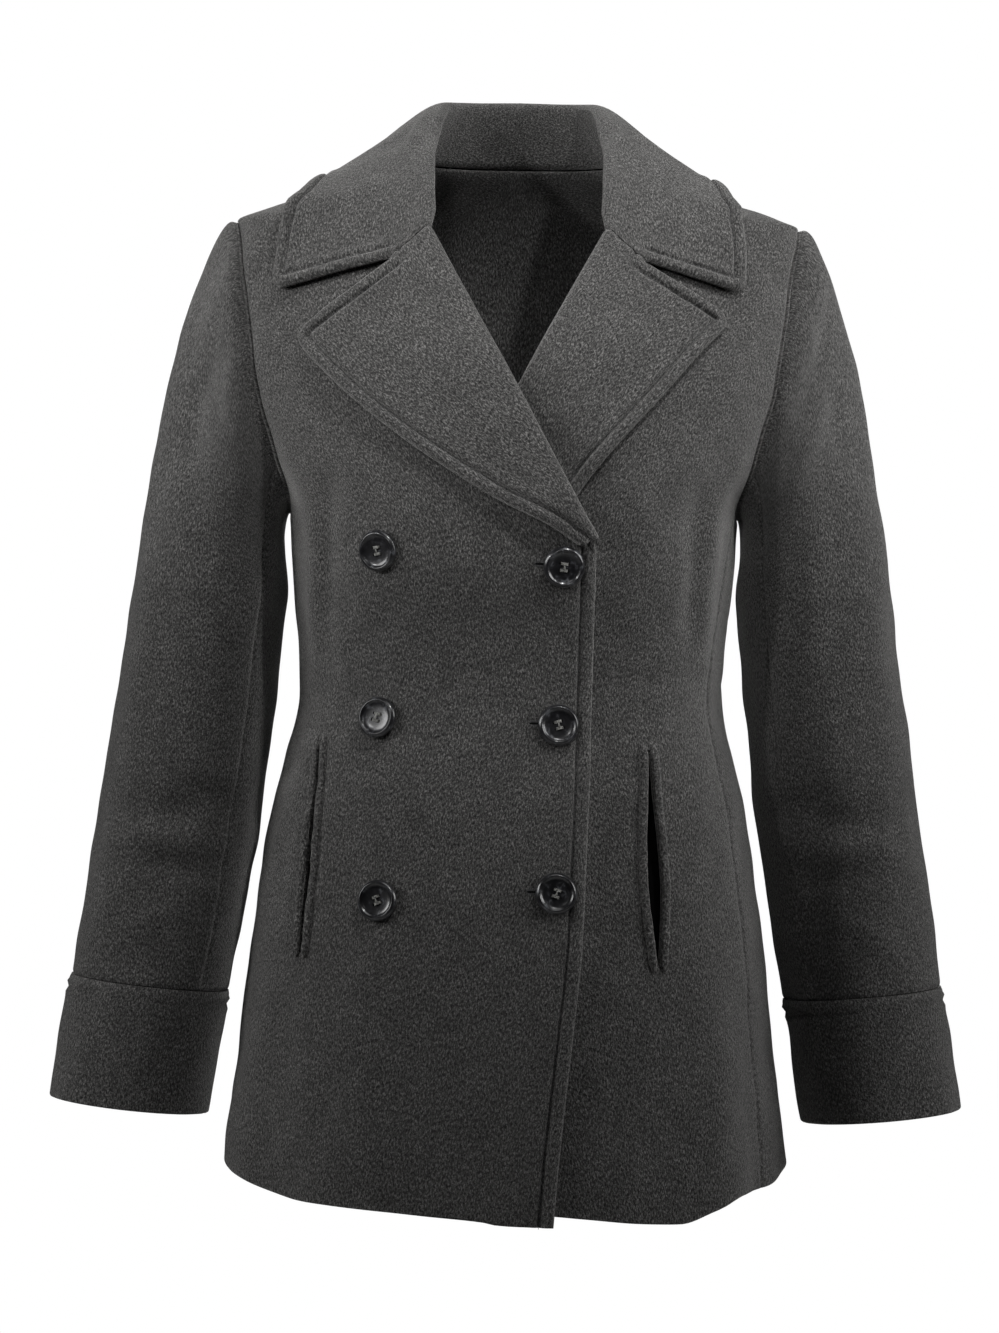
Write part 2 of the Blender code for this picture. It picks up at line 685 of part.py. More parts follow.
def sleeve_nets(side):
    """Outer and inner nets of the whole sleeve and its cuff: rows from the armhole down."""
    turn = np.arange(LOOP) * 360 / LOOP
    inside, start, heading, head = sleeve_start(turn, side)
    end = arm_ring(turn, ARM_TOP, side)
    length = np.linalg.norm(end - start, axis=-1, keepdims=True)
    down = unit(arm_ring(turn, ARM_TOP - 0.010, side) - end)
    rows = [inside]
    for t in np.linspace(0, 1, CAP_ROWS)[:-1]:
        rise = t * (1 - t) ** 2 * mix(*CAP_PUFF, head) * length * heading
        fall = t * t * (t - 1) * mix(*CAP_DROP, head) * length * down
        rows.append((1 + 2 * t) * (1 - t) ** 2 * start + t * t * (3 - 2 * t) * end + rise + fall)
    for level in np.linspace(ARM_TOP, CUFF_SEAM, ARM_ROWS + 1):
        rows.append(arm_ring(turn, level, side))
    for level in np.linspace(CUFF_SEAM - 2 * HALF_SEAM, CUFF_EDGE, CUFF_ROWS + 1):
        rows.append(arm_ring(turn, level, side))
    points = np.array(rows)
    normals = net_normals(points, closed=True) * side
    seam = CAP_ROWS + ARM_ROWS + 1
    fold = bumps(SLEEVE_FOLDS, turn, points[..., 2])
    fold[:2] = 0
    fold[seam - 1:] = 0
    fold[seam:] = CUFF_PROUD
    outer = points + normals * fold[..., None]
    return outer, outer - normals * SLEEVE_WALL, seam


def columns_between(points, first, last):
    """The net's columns from one to another, going on past the last into the first."""
    picked = [c % points.shape[1] for c in range(first, last + 1)]
    return points[:, picked]


def build_sleeve(side, collection):
    outer, inner, seam = sleeve_nets(side)
    word = "left" if side > 0 else "right"
    spans = {
        "upper_sleeve_": (BACK_SLEEVE_SEAM, FRONT_SLEEVE_SEAM + LOOP),
        "under_sleeve_": (FRONT_SLEEVE_SEAM, BACK_SLEEVE_SEAM),
    }
    for stem, (first, last) in spans.items():
        nets = [[
            drawn_in(columns_between(net[:seam], first, last), ("hem",)) for net in (outer, inner)
        ]]
        place(stem + word, wall_mesh(stem + word, nets), collection)
    nets = [[columns_between(net[seam:], 0, LOOP) for net in (outer, inner)]]
    place("cuff_" + word, wall_mesh("cuff_" + word, nets), collection)


# ---- lapels ----

def fold_section(rise):
    """A lapel's or the collar's rolled edge: places across the roll line, and heights."""
    leg = -ROLL_SET - COLLAR_WALL / 2
    steps = np.linspace(0, pi / 2, FOLD_COLUMNS + 1)
    across = np.concatenate([[leg], leg + ROLL_RADIUS * (1 - np.cos(steps))])
    height = np.concatenate([[-ROLL_SUNK], rise + ROLL_RADIUS * np.sin(steps)])
    return across, height


def turned_row(side, start, end, bend):
    """One row of a turned piece, from its foot round the fold and out to its edge.

    Start and end are x and level on the front; bend moves the places between them."""
    way = unit(end - start)
    covered = 0.0 if side < 0 else 1 - ease(start[0] - roll_x(start[1]), 0.0, 0.020)
    across, height = fold_section(ROLL_RISE * (1 - 0.85 * covered))
    share = np.linspace(0, 1, FALL_COLUMNS + 1)[1:]
    places = [start + way * a for a in across]
    places += [mix(places[-1], end, t) + bend(t) for t in share]
    low = LAP_GAP + COLLAR_WALL / 2 + FLARE * ease(abs(end[0] - roll_x(end[1])), *FLARE_STARTS)
    height = np.concatenate([height, mix(height[-1], low, ease(share, -0.1, 0.9))])
    x, level = np.array(places).T
    return torso(angle_at(x, level), level, front_out(side, x, level) + height)


def gorge_row(side, tip, shift):
    """End row of the lapel or of the collar, moved up the neck by a small shift."""
    start = np.array([side * NECK_FRONT_X, NECK_FRONT_LEVEL])
    notch = np.array([side * NOTCH_X, NOTCH_LEVEL])
    sag = notch - mix(start, tip, NOTCH_PART)
    aside = unit(notch - start)
    up = np.array([-aside[1], aside[0]]) * side
    return turned_row(
        side, start + up * shift, tip + up * shift,
        lambda t: sag * np.interp(t, (0, NOTCH_PART, 1), (0, 1, 0)),
    )


def gorge_normals(side, tip):
    """Normals along the gorge seam, the same ones for the lapel and the collar."""
    along = gorge_row(side, tip, 0.001) - gorge_row(side, tip, -0.001)
    rows = np.array([gorge_row(side, tip, 0.0) + along * share for share in (-1, 0, 1)])
    return net_normals(rows)[1] * side


def lapel_lines(side):
    """Roll line and outer edge of a lapel, as x and level, from its foot up."""
    count = LAPEL_ROWS + 1
    word = "left" if side > 0 else "right"
    edges = LAPEL_EDGES[word]
    part = np.linspace(0, 1, count)
    edge = np.stack([read(edges, "x", part), read(edges, "level", part)], -1)
    foot = LAPEL_FOOT[word]
    level = mix(foot, NECK_FRONT_LEVEL, part)
    x = roll_x(level) if side < 0 else under_edge_x(level)
    return np.stack([x, level], -1), edge


def build_lapel(side, collection):
    roll, edge = lapel_lines(side)
    tip = edge[-1]
    straight = mix(roll[-1], tip, NOTCH_PART)
    sag = np.array([side * NOTCH_X, NOTCH_LEVEL]) - straight
    rows = []
    for part, start, end in zip(np.linspace(0, 1, len(roll)), roll, edge):
        bend = sag * part ** 6
        rows.append(turned_row(
            side, start, end, lambda t: bend * np.interp(t, (0, NOTCH_PART, 1), (0, 1, 0))
        ))
    middle = np.array(rows)
    normals = net_normals(middle) * side
    normals[-1] = gorge_normals(side, tip)
    name = "lapel_left" if side > 0 else "lapel_right"
    return place(name, sheet_mesh(name, middle, normals, COLLAR_WALL), collection)


# ---- collar ----

def body_tree():
    """The body's outer face round the neck and shoulders, to measure from."""
    angle = np.arange(0, 361, 4)
    level = np.concatenate([np.linspace(-0.220, -0.060, 20), np.linspace(-0.055, 0.012, 36)])
    points = torso(angle[None, :], level[:, None])
    columns = len(angle)
    faces = [
        (r * columns + c, r * columns + c + 1, (r + 1) * columns + c + 1, (r + 1) * columns + c)
        for r in range(len(level) - 1) for c in range(columns - 1)
    ]
    return BVHTree.FromPolygons([tuple(p) for p in points.reshape(-1, 3)], faces)


def clear_of(tree, point, gap):
    """The point, moved straight out where it is nearer the body than the gap."""
    hit, normal, _, _ = tree.find_nearest(Vector(point))
    height = (Vector(point) - hit).dot(normal)
    return point + np.array(normal) * max(0.0, gap - height)


def bezier(a, b, c, d, t):
    return (1 - t) ** 3 * a + 3 * t * (1 - t) ** 2 * b + 3 * t * t * (1 - t) * c + t ** 3 * d


def collar_clear(part):
    """Height of the middle of the collar's cloth over the body; it stands off most at the shoulder."""
    shoulder = ease(part, 0.3, 0.5) * (1 - ease(part, 0.85, 1.0))
    return LAP_GAP + COLLAR_WALL / 2 + COLLAR_SHOULDER_LIFT * shoulder


def collar_row(side, part):
    """Middle of the collar at one place along the neck seam: foot, stand, fold and fall."""
    seam = neck_seam(part)
    base = torso(side * seam[0], seam[1])
    normal = torso_normal(side * seam[0], seam[1])
    ends = [neck_seam(np.clip(part + d, 0, 1)) for d in (0.01, -0.01)]
    tangent = torso(side * ends[0][0], ends[0][1]) - torso(side * ends[1][0], ends[1][1])
    into = -side * unit(np.cross(normal, tangent))
    roll = np.array([side * read(COLLAR_ROLL, "x", part), read(COLLAR_ROLL, "y", part),
                     read(COLLAR_ROLL, "z", part)])
    turned = float(np.clip(np.dot(unit(roll - base), normal), 0, 1))
    foot = base + into * (COLLAR_INSET + COLLAR_INSET_TURNED * turned) - normal * BODY_WALL / 2
    word = "left" if side > 0 else "right"
    edge = (read(COLLAR_EDGE, word, part), read(COLLAR_EDGE, "level", part))
    low = collar_clear(part) + COLLAR_AIR
    end = torso(side * edge[0], edge[1], low + FLARE)
    before = [mix(s, e, FALL_BEFORE) for s, e in zip(seam, edge)]
    before = torso(side * before[0], before[1], low + FLARE / 2)
    front_up = torso_normal(side * neck_seam(1.0)[0], NECK_FRONT_LEVEL)
    up = unit(mix(np.array([0, 0, 1.0]), front_up, ease(part, 0.55, 1)))
    away = unit((end - roll) - np.dot(end - roll, up) * up)
    rise = (roll - foot) - np.dot(roll - foot, away) * away
    radius = min(COLLAR_FOLD_RADIUS, 0.6 * np.linalg.norm(rise))
    turns = np.radians(np.linspace(COLLAR_FOLD_START, 0, FOLD_COLUMNS))[:, None]
    fold = roll + radius * (np.sin(turns) * away + (np.cos(turns) - 1) * unit(rise))
    stand = [foot, (foot + fold[0]) / 2, *fold]
    leave = roll + away * FALL_LEAVES
    arrive = end - unit(end - before) * FALL_ARRIVES
    return np.array(stand + [bezier(roll, leave, arrive, end, t) for t in FALL_STEPS])


def build_collar(collection):
    tree = body_tree()
    part = np.linspace(0, 1, 2 * NECK_ROWS + 1)
    halves = {}
    for side, word in ((1, "left"), (-1, "right")):
        tip = np.array(COLLAR_TIPS[word])
        last = gorge_row(side, tip, GORGE_SHIFT)
        rows = np.array([collar_row(side, p) for p in part])
        rows = rows + (part[:, None, None] ** 5) * (last - rows[-1])
        for row, place_on_seam in zip(rows[:-1], part):
            for column in range(FOLD_COLUMNS + 2, len(row)):
                row[column] = clear_of(tree, row[column], collar_clear(place_on_seam))
        halves[word] = rows
    middle = np.concatenate([halves["left"][::-1], halves["right"][1:]])
    normals = net_normals(middle)
    for row, side, word in ((0, 1, "left"), (-1, -1, "right")):
        seam = gorge_normals(side, np.array(COLLAR_TIPS[word]))
        normals[row] = seam * np.sign(np.sum(seam * normals[row], axis=-1, keepdims=True))
    return place("collar", sheet_mesh("collar", middle, normals, COLLAR_WALL), collection)


# ---- pockets ----

def along_pocket(side, beyond=0.0):
    """Middle line of a pocket's slit as angles and levels, from its top down."""
    top, foot = (np.array(end) for end in POCKETS["left" if side > 0 else "right"])
    run = unit(foot - top) * beyond
    places = mix(top - run, foot + run, np.linspace(0, 1, POCKET_ROWS + 1)[:, None])
    return angle_at(places[:, 0], places[:, 1]), places[:, 1]


def pocket_net(side, across, out, beyond=0.0):
    """Points beside the slit, at distances across it measured on the body, towards the side seam."""
    angle, level = along_pocket(side, beyond)
    speed = np.linalg.norm(plain_torso(angle + 1, level) - plain_torso(angle - 1, level), axis=-1) / 2
    angle = angle[:, None] + side * np.asarray(across) / speed[:, None]
    level = level[:, None]
    x = plain_torso(angle, level)[..., 0]
    return torso(angle, level, front_out(side, x, level) + out)


def build_pocket(side, front, collection, cutters):
    word = "left" if side > 0 else "right"
    half = SLIT_WIDTH / 2
    cut = wall_mesh("slit_" + word, [[pocket_net(side, (-half, half), out) for out in SLIT_CUT]])
    cutter = place("slit_" + word, cut, cutters)
    cutter.hide_render = True
    cutter.display_type = "WIRE"
    slit = front.modifiers.new("Slit", "BOOLEAN")
    slit.object = cutter
    slit.operation = "DIFFERENCE"
    for name, sign in (("welt_front_", -1), ("welt_back_", 1)):
        strip = (sign * half, sign * (half + WELT_WIDTH / 2), sign * (half + WELT_WIDTH))
        heights = (WELT_GAP + WELT_WALL, WELT_GAP)
        faces = [pocket_net(side, strip, out, WELT_PAST) for out in heights]
        place(name + word, wall_mesh(name + word, [faces]), collection)
    bag = np.linspace(BAG_BEHIND, -BAG_FORWARD, BAG_COLUMNS + 1)
    top = -BODY_WALL - BAG_GAP
    faces = [pocket_net(side, bag, out, BAG_PAST) for out in (top, top - BAG_WALL)]
    place("pocket_bag_" + word, wall_mesh("pocket_bag_" + word, [faces]), collection, WOOL_DARK)


# ---- buttons ----

def button_mesh(collection):
    """A turned button with its four holes, face up."""
    profile = bpy.data.meshes.new("button_profile")
    edges = [(i, i + 1) for i in range(len(BUTTON_PROFILE) - 1)]
    profile.from_pydata([(r, 0, z) for r, z in BUTTON_PROFILE], edges, [])
    turned = bpy.data.objects.new("button_turned", profile)
    collection.objects.link(turned)
    screw = turned.modifiers.new("Turn", "SCREW")
    screw.steps = BUTTON_STEPS
    screw.render_steps = BUTTON_STEPS
    screw.use_merge_vertices = True
    screw.merge_threshold = 0.00001
    shape = bmesh.new()
    for i in range(4):
        a = radians(45 + 90 * i)
        spot = Matrix.Translation((BUTTON_HOLE_OFFSET * cos(a), BUTTON_HOLE_OFFSET * sin(a), 0))
        bmesh.ops.create_cone(
            shape, cap_ends=True, segments=6, radius1=BUTTON_HOLE_RADIUS,
            radius2=BUTTON_HOLE_RADIUS, depth=BUTTON_DRILL, matrix=spot,
        )
    holes = bpy.data.meshes.new("button_holes")
    shape.to_mesh(holes)
    shape.free()
    drill = bpy.data.objects.new("button_holes", holes)
    collection.objects.link(drill)
    bore = turned.modifiers.new("Holes", "BOOLEAN")
    bore.object = drill
    bore.operation = "DIFFERENCE"
    graph = bpy.context.evaluated_depsgraph_get()
    mesh = bpy.data.meshes.new_from_object(turned.evaluated_get(graph))
    mesh.name = "button"
    for made in (turned, drill):
        bpy.data.objects.remove(made)
    return mesh


def build_buttons(front, collection):
    mesh = button_mesh(collection)
    faces = [tuple(face.vertices) for face in front.data.polygons]
    cloth = BVHTree.FromPolygons([vertex.co for vertex in front.data.vertices], faces)
    for name, (x, level) in BUTTON_PLACES.items():
        angle = angle_at(x, level)
        point = Vector(torso(angle, level))
        normal = Vector(torso_normal(angle, level))
        turn = normal.to_track_quat("Z", "Y").to_matrix().to_4x4()
        seat = Matrix.Translation(point) @ turn
        heights = []
        for i in range(SEAT_RAYS):
            a = 2 * pi * i / SEAT_RAYS
            around = Vector((BUTTON_FOOT * cos(a), BUTTON_FOOT * sin(a), SEAT_START))
            hit = cloth.ray_cast(seat @ around, -normal)[0]
            heights.append((hit - point).dot(normal))
        button = place(name, mesh, collection, HORN, 0.25)
        button.matrix_world = Matrix.Translation(normal * (max(heights) + BUTTON_GAP)) @ seat


def main():
    for made in list(bpy.data.objects):
        bpy.data.objects.remove(made)
    coat = bpy.data.collections.new("Pea coat")
    cutters = bpy.data.collections.new("Cutters")
    for collection in (coat, cutters):
        bpy.context.scene.collection.children.link(collection)
    fronts = {side: build_front(side, coat) for side in (-1, 1)}
    for side, front in fronts.items():
        build_pocket(side, front, coat, cutters)
        build_side(side, coat)
        build_sleeve(side, coat)
        build_lapel(side, coat)
    build_back(coat)
    build_collar(coat)
    build_buttons(fronts[-1], coat)


main()
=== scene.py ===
# A women's double-breasted pea coat in charcoal melton: its looks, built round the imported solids.
# Metres. -Y is the coat's front, +Z is up, +X is the wearer's left, and the origin is in the neck.

from math import cos, pi, radians, sin

import bmesh
import bpy
import numpy as np
from mathutils import Matrix, Vector
from mathutils.bvhtree import BVHTree
from mathutils.kdtree import KDTree


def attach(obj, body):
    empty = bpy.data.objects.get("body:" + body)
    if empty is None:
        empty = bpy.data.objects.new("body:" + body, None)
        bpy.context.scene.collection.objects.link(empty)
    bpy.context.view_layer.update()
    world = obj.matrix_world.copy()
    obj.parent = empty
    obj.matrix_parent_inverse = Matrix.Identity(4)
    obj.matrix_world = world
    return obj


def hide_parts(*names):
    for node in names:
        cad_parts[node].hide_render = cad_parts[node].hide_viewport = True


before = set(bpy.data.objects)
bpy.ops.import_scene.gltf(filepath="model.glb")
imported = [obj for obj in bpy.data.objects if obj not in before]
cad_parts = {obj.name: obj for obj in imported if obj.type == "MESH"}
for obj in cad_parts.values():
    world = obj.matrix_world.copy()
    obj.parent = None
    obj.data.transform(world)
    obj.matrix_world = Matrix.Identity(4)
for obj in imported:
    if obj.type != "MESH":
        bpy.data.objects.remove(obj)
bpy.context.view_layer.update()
print("frame loaded")


def table(names, *rows):
    return dict(zip(names.split(), np.array(rows, float).T))


# ---- what the cloth pieces are cut from ----

body = {
    "wall": 0.0025,
    "perDegree": 0.0024,    # how far apart on the cloth two places a degree apart are, about
    "seam": 0.00018,        # each piece stops this short of its seam line
    "armholeTop": -0.0455,
    "armholeFoot": -0.250,
    "frontReach": 26.0,     # degrees of the body that the armhole takes in front and behind
    "backReach": 29.0,
    "sideHalf": 22.5,       # the side panel's share of the armhole, each way from its foot
    "armholePower": 0.75,
    "sideTurns": 0.45,      # how far up a side panel its columns turn towards the armhole
    "hemGone": 1.6,         # how soon the hem's slant is gone from the rows above it
    "neckFront": -0.059,
    "neckFrontX": 0.062,
    "neckBack": 0.003,
    "hem": -0.725,
}
closing = {
    "breakLevel": -0.276,   # where the lapels start to turn
    "edgeX": 0.0555,
    "underEdgeX": 0.055,
    "tuckLow": 0.0042,      # how far the under front sits inside the over front
    "tuck": 0.0062,
    "tuckDeeper": (-0.300, -0.250),
    "tuckEnds": (-0.165, -0.095),
    "tuckWidth": (0.002, 0.050),
    "lift": 0.0038,         # how far the over front stands up over the under lapel
    "liftStarts": (-0.290, -0.240),
    "liftEnds": (-0.160, -0.115),
    "liftWidth": (0.016, 0.050),
}
turnOver = {
    "gap": 0.0011,          # air between a lapel's or the collar's edge and the cloth below
    "flare": 0.0022,        # the edge lifts this much more, the more so far from the roll line
    "flareStarts": (0.010, 0.040),
    "radius": 0.0034,
    "rise": 0.0016,
    "set": 0.0006,
    "sunk": 0.0013,
    "covered": 0.020,       # where the other front covers the fold it is pressed down by this share
    "pressed": 0.85,
    "settles": (-0.1, 0.9),
}
sleeve = {
    "wall": 0.0022,
    "perDegree": 0.00096,
    "cuffSwell": 0.6,       # how much of an edge's swell the cuff's seam has
    "cuffSwells": (0.004, 0.006),
    "foldsFade": 0.012,     # how far from a seam the folds and the unevenness have their full depth
    "wearFades": 0.006,
    "faces": (54, 60, 16),  # up the cap, the arm and the cuff, between their dense edges
    "around": (50, 22),     # round the upper sleeve and the under sleeve
    "capCurve": 1.08,       # length of the cap's curve, of a straight line's
    "armTop": -0.305,
    "cuffSeam": -0.577,
    "cuffEdge": -0.661,
    "cuffProud": 0.0010,
    "inset": 0.0005,
    "sunk": 0.0015,
    "stand": 0.0014,
    "capHead": (0.2, 0.9),   # each pair below is for the cap's foot and for its head
    "capNormal": (0.45, 0.0),
    "capLean": ((0.55, 0.0, -0.20), (1.0, 0.0, 0.20)),
    "capPuff": (0.385, 0.300),
    "capDrop": (1.08, 0.42),
    "frontSeam": 0.375,     # share of the way round the sleeve, from its top going forward
    "backSeam": 0.6875,
}
lapel = {
    "notchX": 0.0850,
    "notchLevel": -0.0805,
    "notchPart": 0.30,      # share of the way from the roll line to a tip
    "foot": {"right": -0.2680, "left": -0.1885},
    "gorgeShift": 0.0005,
    "length": 0.210,
    "rows": 52,
    "sagPower": 6,          # how close to its end a lapel bends towards the notch
}
collar = {
    "wall": 0.0034,
    "tips": {"right": (-0.1645, -0.1020), "left": (0.1530, -0.1000)},
    "foldRadius": 0.0054,
    "foldStart": -75.0,
    "inset": 0.0005,
    "insetTurned": 0.0022,
    "shoulderLift": 0.0018,
    "shoulderStarts": (0.3, 0.5),
    "shoulderEnds": (0.85, 1.0),
    "length": 0.300,
    "rows": 62,
    "gorgePower": 5,        # how close to its end the collar bends to meet the lapel
    "air": 0.0010,
    "fallLeaves": 0.020,
    "fallArrives": 0.022,
    "fallBefore": 0.85,
    "evenTimes": 4,         # the columns past the fold that are evened out, how often and how much
    "evenColumns": 10,
    "evenShare": 0.6,
}
pocket = {
    "weltWidth": 0.0058,
    "weltPast": 0.022,      # share of the slit's length that the welts reach past its ends
    "steps": (60, 90, 50, 30),      # along the slit, the welts and the bag, and across the bag
    "slitPast": 0.002,
    "slitDeep": (0.006, -0.005),    # how far out and in its cutter reaches
    "bagWall": 0.0010,
    "bagGap": 0.0010,
    "bagBehind": 0.015,
    "bagForward": 0.060,
    "bagSag": 0.009,
    "bagSagWidth": 0.011,
    "bagPast": 0.10,
    "lips": 0.0009,         # half the slit's width at its ends
    "gape": {"right": 0.0016, "left": 0.0042},
    "gapeLow": 1.25,        # the slit hangs open most below its middle
    "gapePower": 1.3,
    "weltTall": 0.0024,
    "weltSits": 0.0004,
    "ends": {
        "right": ((-0.1290, -0.4070), (-0.1395, -0.5490)),
        "left": ((0.0935, -0.4090), (0.1015, -0.5530)),
    },
}
button = {
    "radius": 0.0140,
    "foot": 0.0128,
    "gap": 0.0003,
    "profile": ((0.0005, 0.0027), (0.0050, 0.0027), (0.0085, 0.0030), (0.0102, 0.0036), (0.0111, 0.0045),
                (0.0118, 0.0048), (0.0125, 0.0044), (0.0133, 0.0036), (0.0139, 0.0026), (0.0140, 0.0016),
                (0.0136, 0.0006), (0.0128, 0.0000), (0.0060, 0.0000), (0.0005, 0.0000)),
    "holeRadius": 0.00115,
    "holeOffset": 0.0032,
    "holeFlare": 1.25,
    "drill": 0.012,
    "rings": 44,
    "around": 72,
    "sharp": 35,            # degrees, from which an edge looks sharp
    "faceLevel": 0.0030,
    "laneOffset": 0.7071,   # share of the holes' offset
    "strand": 0.00036,      # radius of the thread
    "strandEnds": 0.0004,   # how far a strand goes on past the middle of its holes
    "strandSunk": 0.0012,
    "lanes": ((-1, 4, 0.00062, 0.0019), (1, 4, 0.00062, 0.0019), (0, 3, 0.0009, 0.0023)),
    "spins": (8, -14, 22, -6, 15, -20),
    "places": {
        "right_top": (-0.0900, -0.2775),
        "right_middle": (-0.0888, -0.3900),
        "right_bottom": (-0.0868, -0.5120),
        "left_top": (0.0335, -0.2865),
        "left_middle": (0.0318, -0.3930),
        "left_bottom": (0.0318, -0.5050),
    },
}

# Outline of the body at each level, seen from above: half its width, its depth in front of and
# behind the side line, and how square it is (2 is an ellipse).
bodySections = table(
    "level   half    front   back   square",
    (-0.800, 0.2005, 0.152, 0.153, 2.30),
    (-0.725, 0.1965, 0.147, 0.148, 2.30),
    (-0.690, 0.1935, 0.145, 0.146, 2.30),
    (-0.616, 0.1855, 0.138, 0.140, 2.30),
    (-0.532, 0.1765, 0.130, 0.131, 2.25),
    (-0.448, 0.1640, 0.119, 0.118, 2.20),
    (-0.416, 0.1560, 0.114, 0.110, 2.20),
    (-0.375, 0.1475, 0.110, 0.102, 2.15),
    (-0.340, 0.1490, 0.115, 0.102, 2.20),
    (-0.311, 0.1515, 0.123, 0.106, 2.25),
    (-0.280, 0.1540, 0.131, 0.111, 2.30),
    (-0.250, 0.1565, 0.134, 0.114, 2.30),
    (-0.210, 0.1750, 0.131, 0.115, 2.20),
    (-0.160, 0.1960, 0.121, 0.113, 2.10),
    (-0.110, 0.2040, 0.102, 0.109, 2.00),
    (-0.075, 0.2025, 0.083, 0.104, 2.00),
    (-0.0455, 0.1970, 0.063, 0.097, 2.00),
    (-0.0350, 0.1700, 0.054, 0.093, 2.00),
    (-0.021, 0.1300, 0.044, 0.087, 2.00),
    (-0.010, 0.1020, 0.036, 0.081, 2.00),
    (0.000, 0.0800, 0.028, 0.076, 2.00),
    (0.020, 0.0700, 0.024, 0.070, 2.00),
)

# Seams that run down the body: the front one and the back one of each side panel, in degrees.
# The closing is pulled towards the wearer's right, and the seams go with it.
seamAngles = table(
    "level   frontLeft backLeft frontRight backRight",
    (-0.725, 65.0, 108.0, -84.0, -120.0),
    (-0.500, 64.0, 108.0, -85.0, -120.0),
    (-0.375, 65.0, 108.0, -85.0, -119.0),
    (-0.300, 69.0, 106.0, -81.5, -113.0),
    (-0.243, 77.3, 104.1, -77.3, -104.1),
)

# Hem level round each half of the body: 0 front centre, 180 back centre, less than 0 past the front
# centre. The closing pulls the left half up.
hemLevels = table(
    "angle   right    left",
    (-8.0, -0.7250, -0.7165),
    (0.0, -0.7240, -0.7165),
    (3.0, -0.7215, -0.7167),
    (14.0, -0.7184, -0.7197),
    (26.0, -0.7160, -0.7231),
    (34.0, -0.7150, -0.7240),
    (43.0, -0.7138, -0.7166),
    (53.0, -0.7100, -0.7083),
    (67.0, -0.7020, -0.7062),
    (80.0, -0.6945, -0.6990),
    (95.0, -0.6915, -0.6950),
    (130.0, -0.6950, -0.6970),
    (180.0, -0.7020, -0.7020),
)

# Neck seam in front, from the shoulder seam to the roll line.
neckLine = table(
    "part    x       level",
    (0.00, 0.0800, 0.0000),
    (0.25, 0.0768, -0.0095),
    (0.50, 0.0722, -0.0265),
    (0.75, 0.0675, -0.0425),
    (1.00, 0.0620, -0.0590),
)

# Free front edge of the front that laps over.
frontEdge = table(
    "level   x",
    (-0.725, 0.0335),
    (-0.685, 0.0364),
    (-0.641, 0.0407),
    (-0.597, 0.0450),
    (-0.550, 0.0495),
    (-0.510, 0.0515),
    (-0.390, 0.0545),
    (-0.276, 0.0555),
)

# The largest folds of the body: where each one is, how wide and how long, and how far it stands out.
bodyFolds = table(
    "angle   level   wide  long   depth",
    (-69.0, -0.740, 9.0, 0.150, 0.0065),
    (-50.0, -0.740, 8.0, 0.130, -0.0030),
    (-27.0, -0.760, 11.0, 0.120, 0.0025),
    (47.0, -0.745, 9.0, 0.160, 0.0060),
    (62.0, -0.740, 6.5, 0.120, -0.0035),
    (84.0, -0.750, 9.0, 0.140, 0.0040),
    (126.0, -0.745, 10.0, 0.170, 0.0065),
    (148.0, -0.745, 9.0, 0.120, -0.0035),
    (-141.0, -0.745, 11.0, 0.180, 0.0060),
    (-165.0, -0.750, 9.0, 0.110, -0.0030),
    (176.0, -0.755, 8.0, 0.130, 0.0030),
    (-60.0, -0.225, 7.0, 0.045, 0.0035),
    (60.0, -0.230, 6.5, 0.040, 0.0030),
)

# Arms, from the cuff's edge up: each ring's centre, half its width and depth, and its tilt.
armRings = table(
    "level   x       y       across  deep    tilt",
    (-0.661, 0.2612, -0.0200, 0.0545, 0.0440, 0.10),
    (-0.616, 0.2547, -0.0140, 0.0549, 0.0445, 0.10),
    (-0.574, 0.2480, -0.0080, 0.0546, 0.0460, 0.10),
    (-0.532, 0.2418, -0.0020, 0.0560, 0.0505, 0.10),
    (-0.448, 0.2290, 0.0050, 0.0562, 0.0565, 0.10),
    (-0.375, 0.2197, 0.0060, 0.0550, 0.0595, 0.10),
    (-0.305, 0.2116, 0.0040, 0.0538, 0.0615, 0.10),
)
# The largest folds of the sleeves: how far round (0 outside, 90 front, 180 inside, 270 back).
sleeveFolds = table(
    "angle   level   wide  long   depth",
    (20.0, -0.150, 24.0, 0.060, 0.0030),
    (62.0, -0.180, 16.0, 0.055, -0.0032),
    (100.0, -0.210, 18.0, 0.050, 0.0025),
    (95.0, -0.455, 40.0, 0.013, -0.0034),
    (110.0, -0.495, 42.0, 0.012, -0.0030),
    (80.0, -0.475, 40.0, 0.010, 0.0016),
    (300.0, -0.170, 20.0, 0.060, -0.0028),
    (262.0, -0.440, 45.0, 0.020, 0.0026),
)

# Roll line of the collar, back centre to the front of the neck, on the wearer's left.
collarRoll = table(
    "part    x       y       z",
    (0.00, 0.0000, 0.0740, 0.0500),
    (0.12, 0.0240, 0.0725, 0.0495),
    (0.25, 0.0440, 0.0620, 0.0480),
    (0.37, 0.0555, 0.0430, 0.0450),
    (0.50, 0.0595, 0.0230, 0.0350),
    (0.62, 0.0630, 0.0020, 0.0180),
    (0.74, 0.0655, -0.0235, 0.0005),
    (0.87, 0.0650, -0.0505, -0.0270),
    (1.00, 0.0625, -0.0710, -0.0570),
)
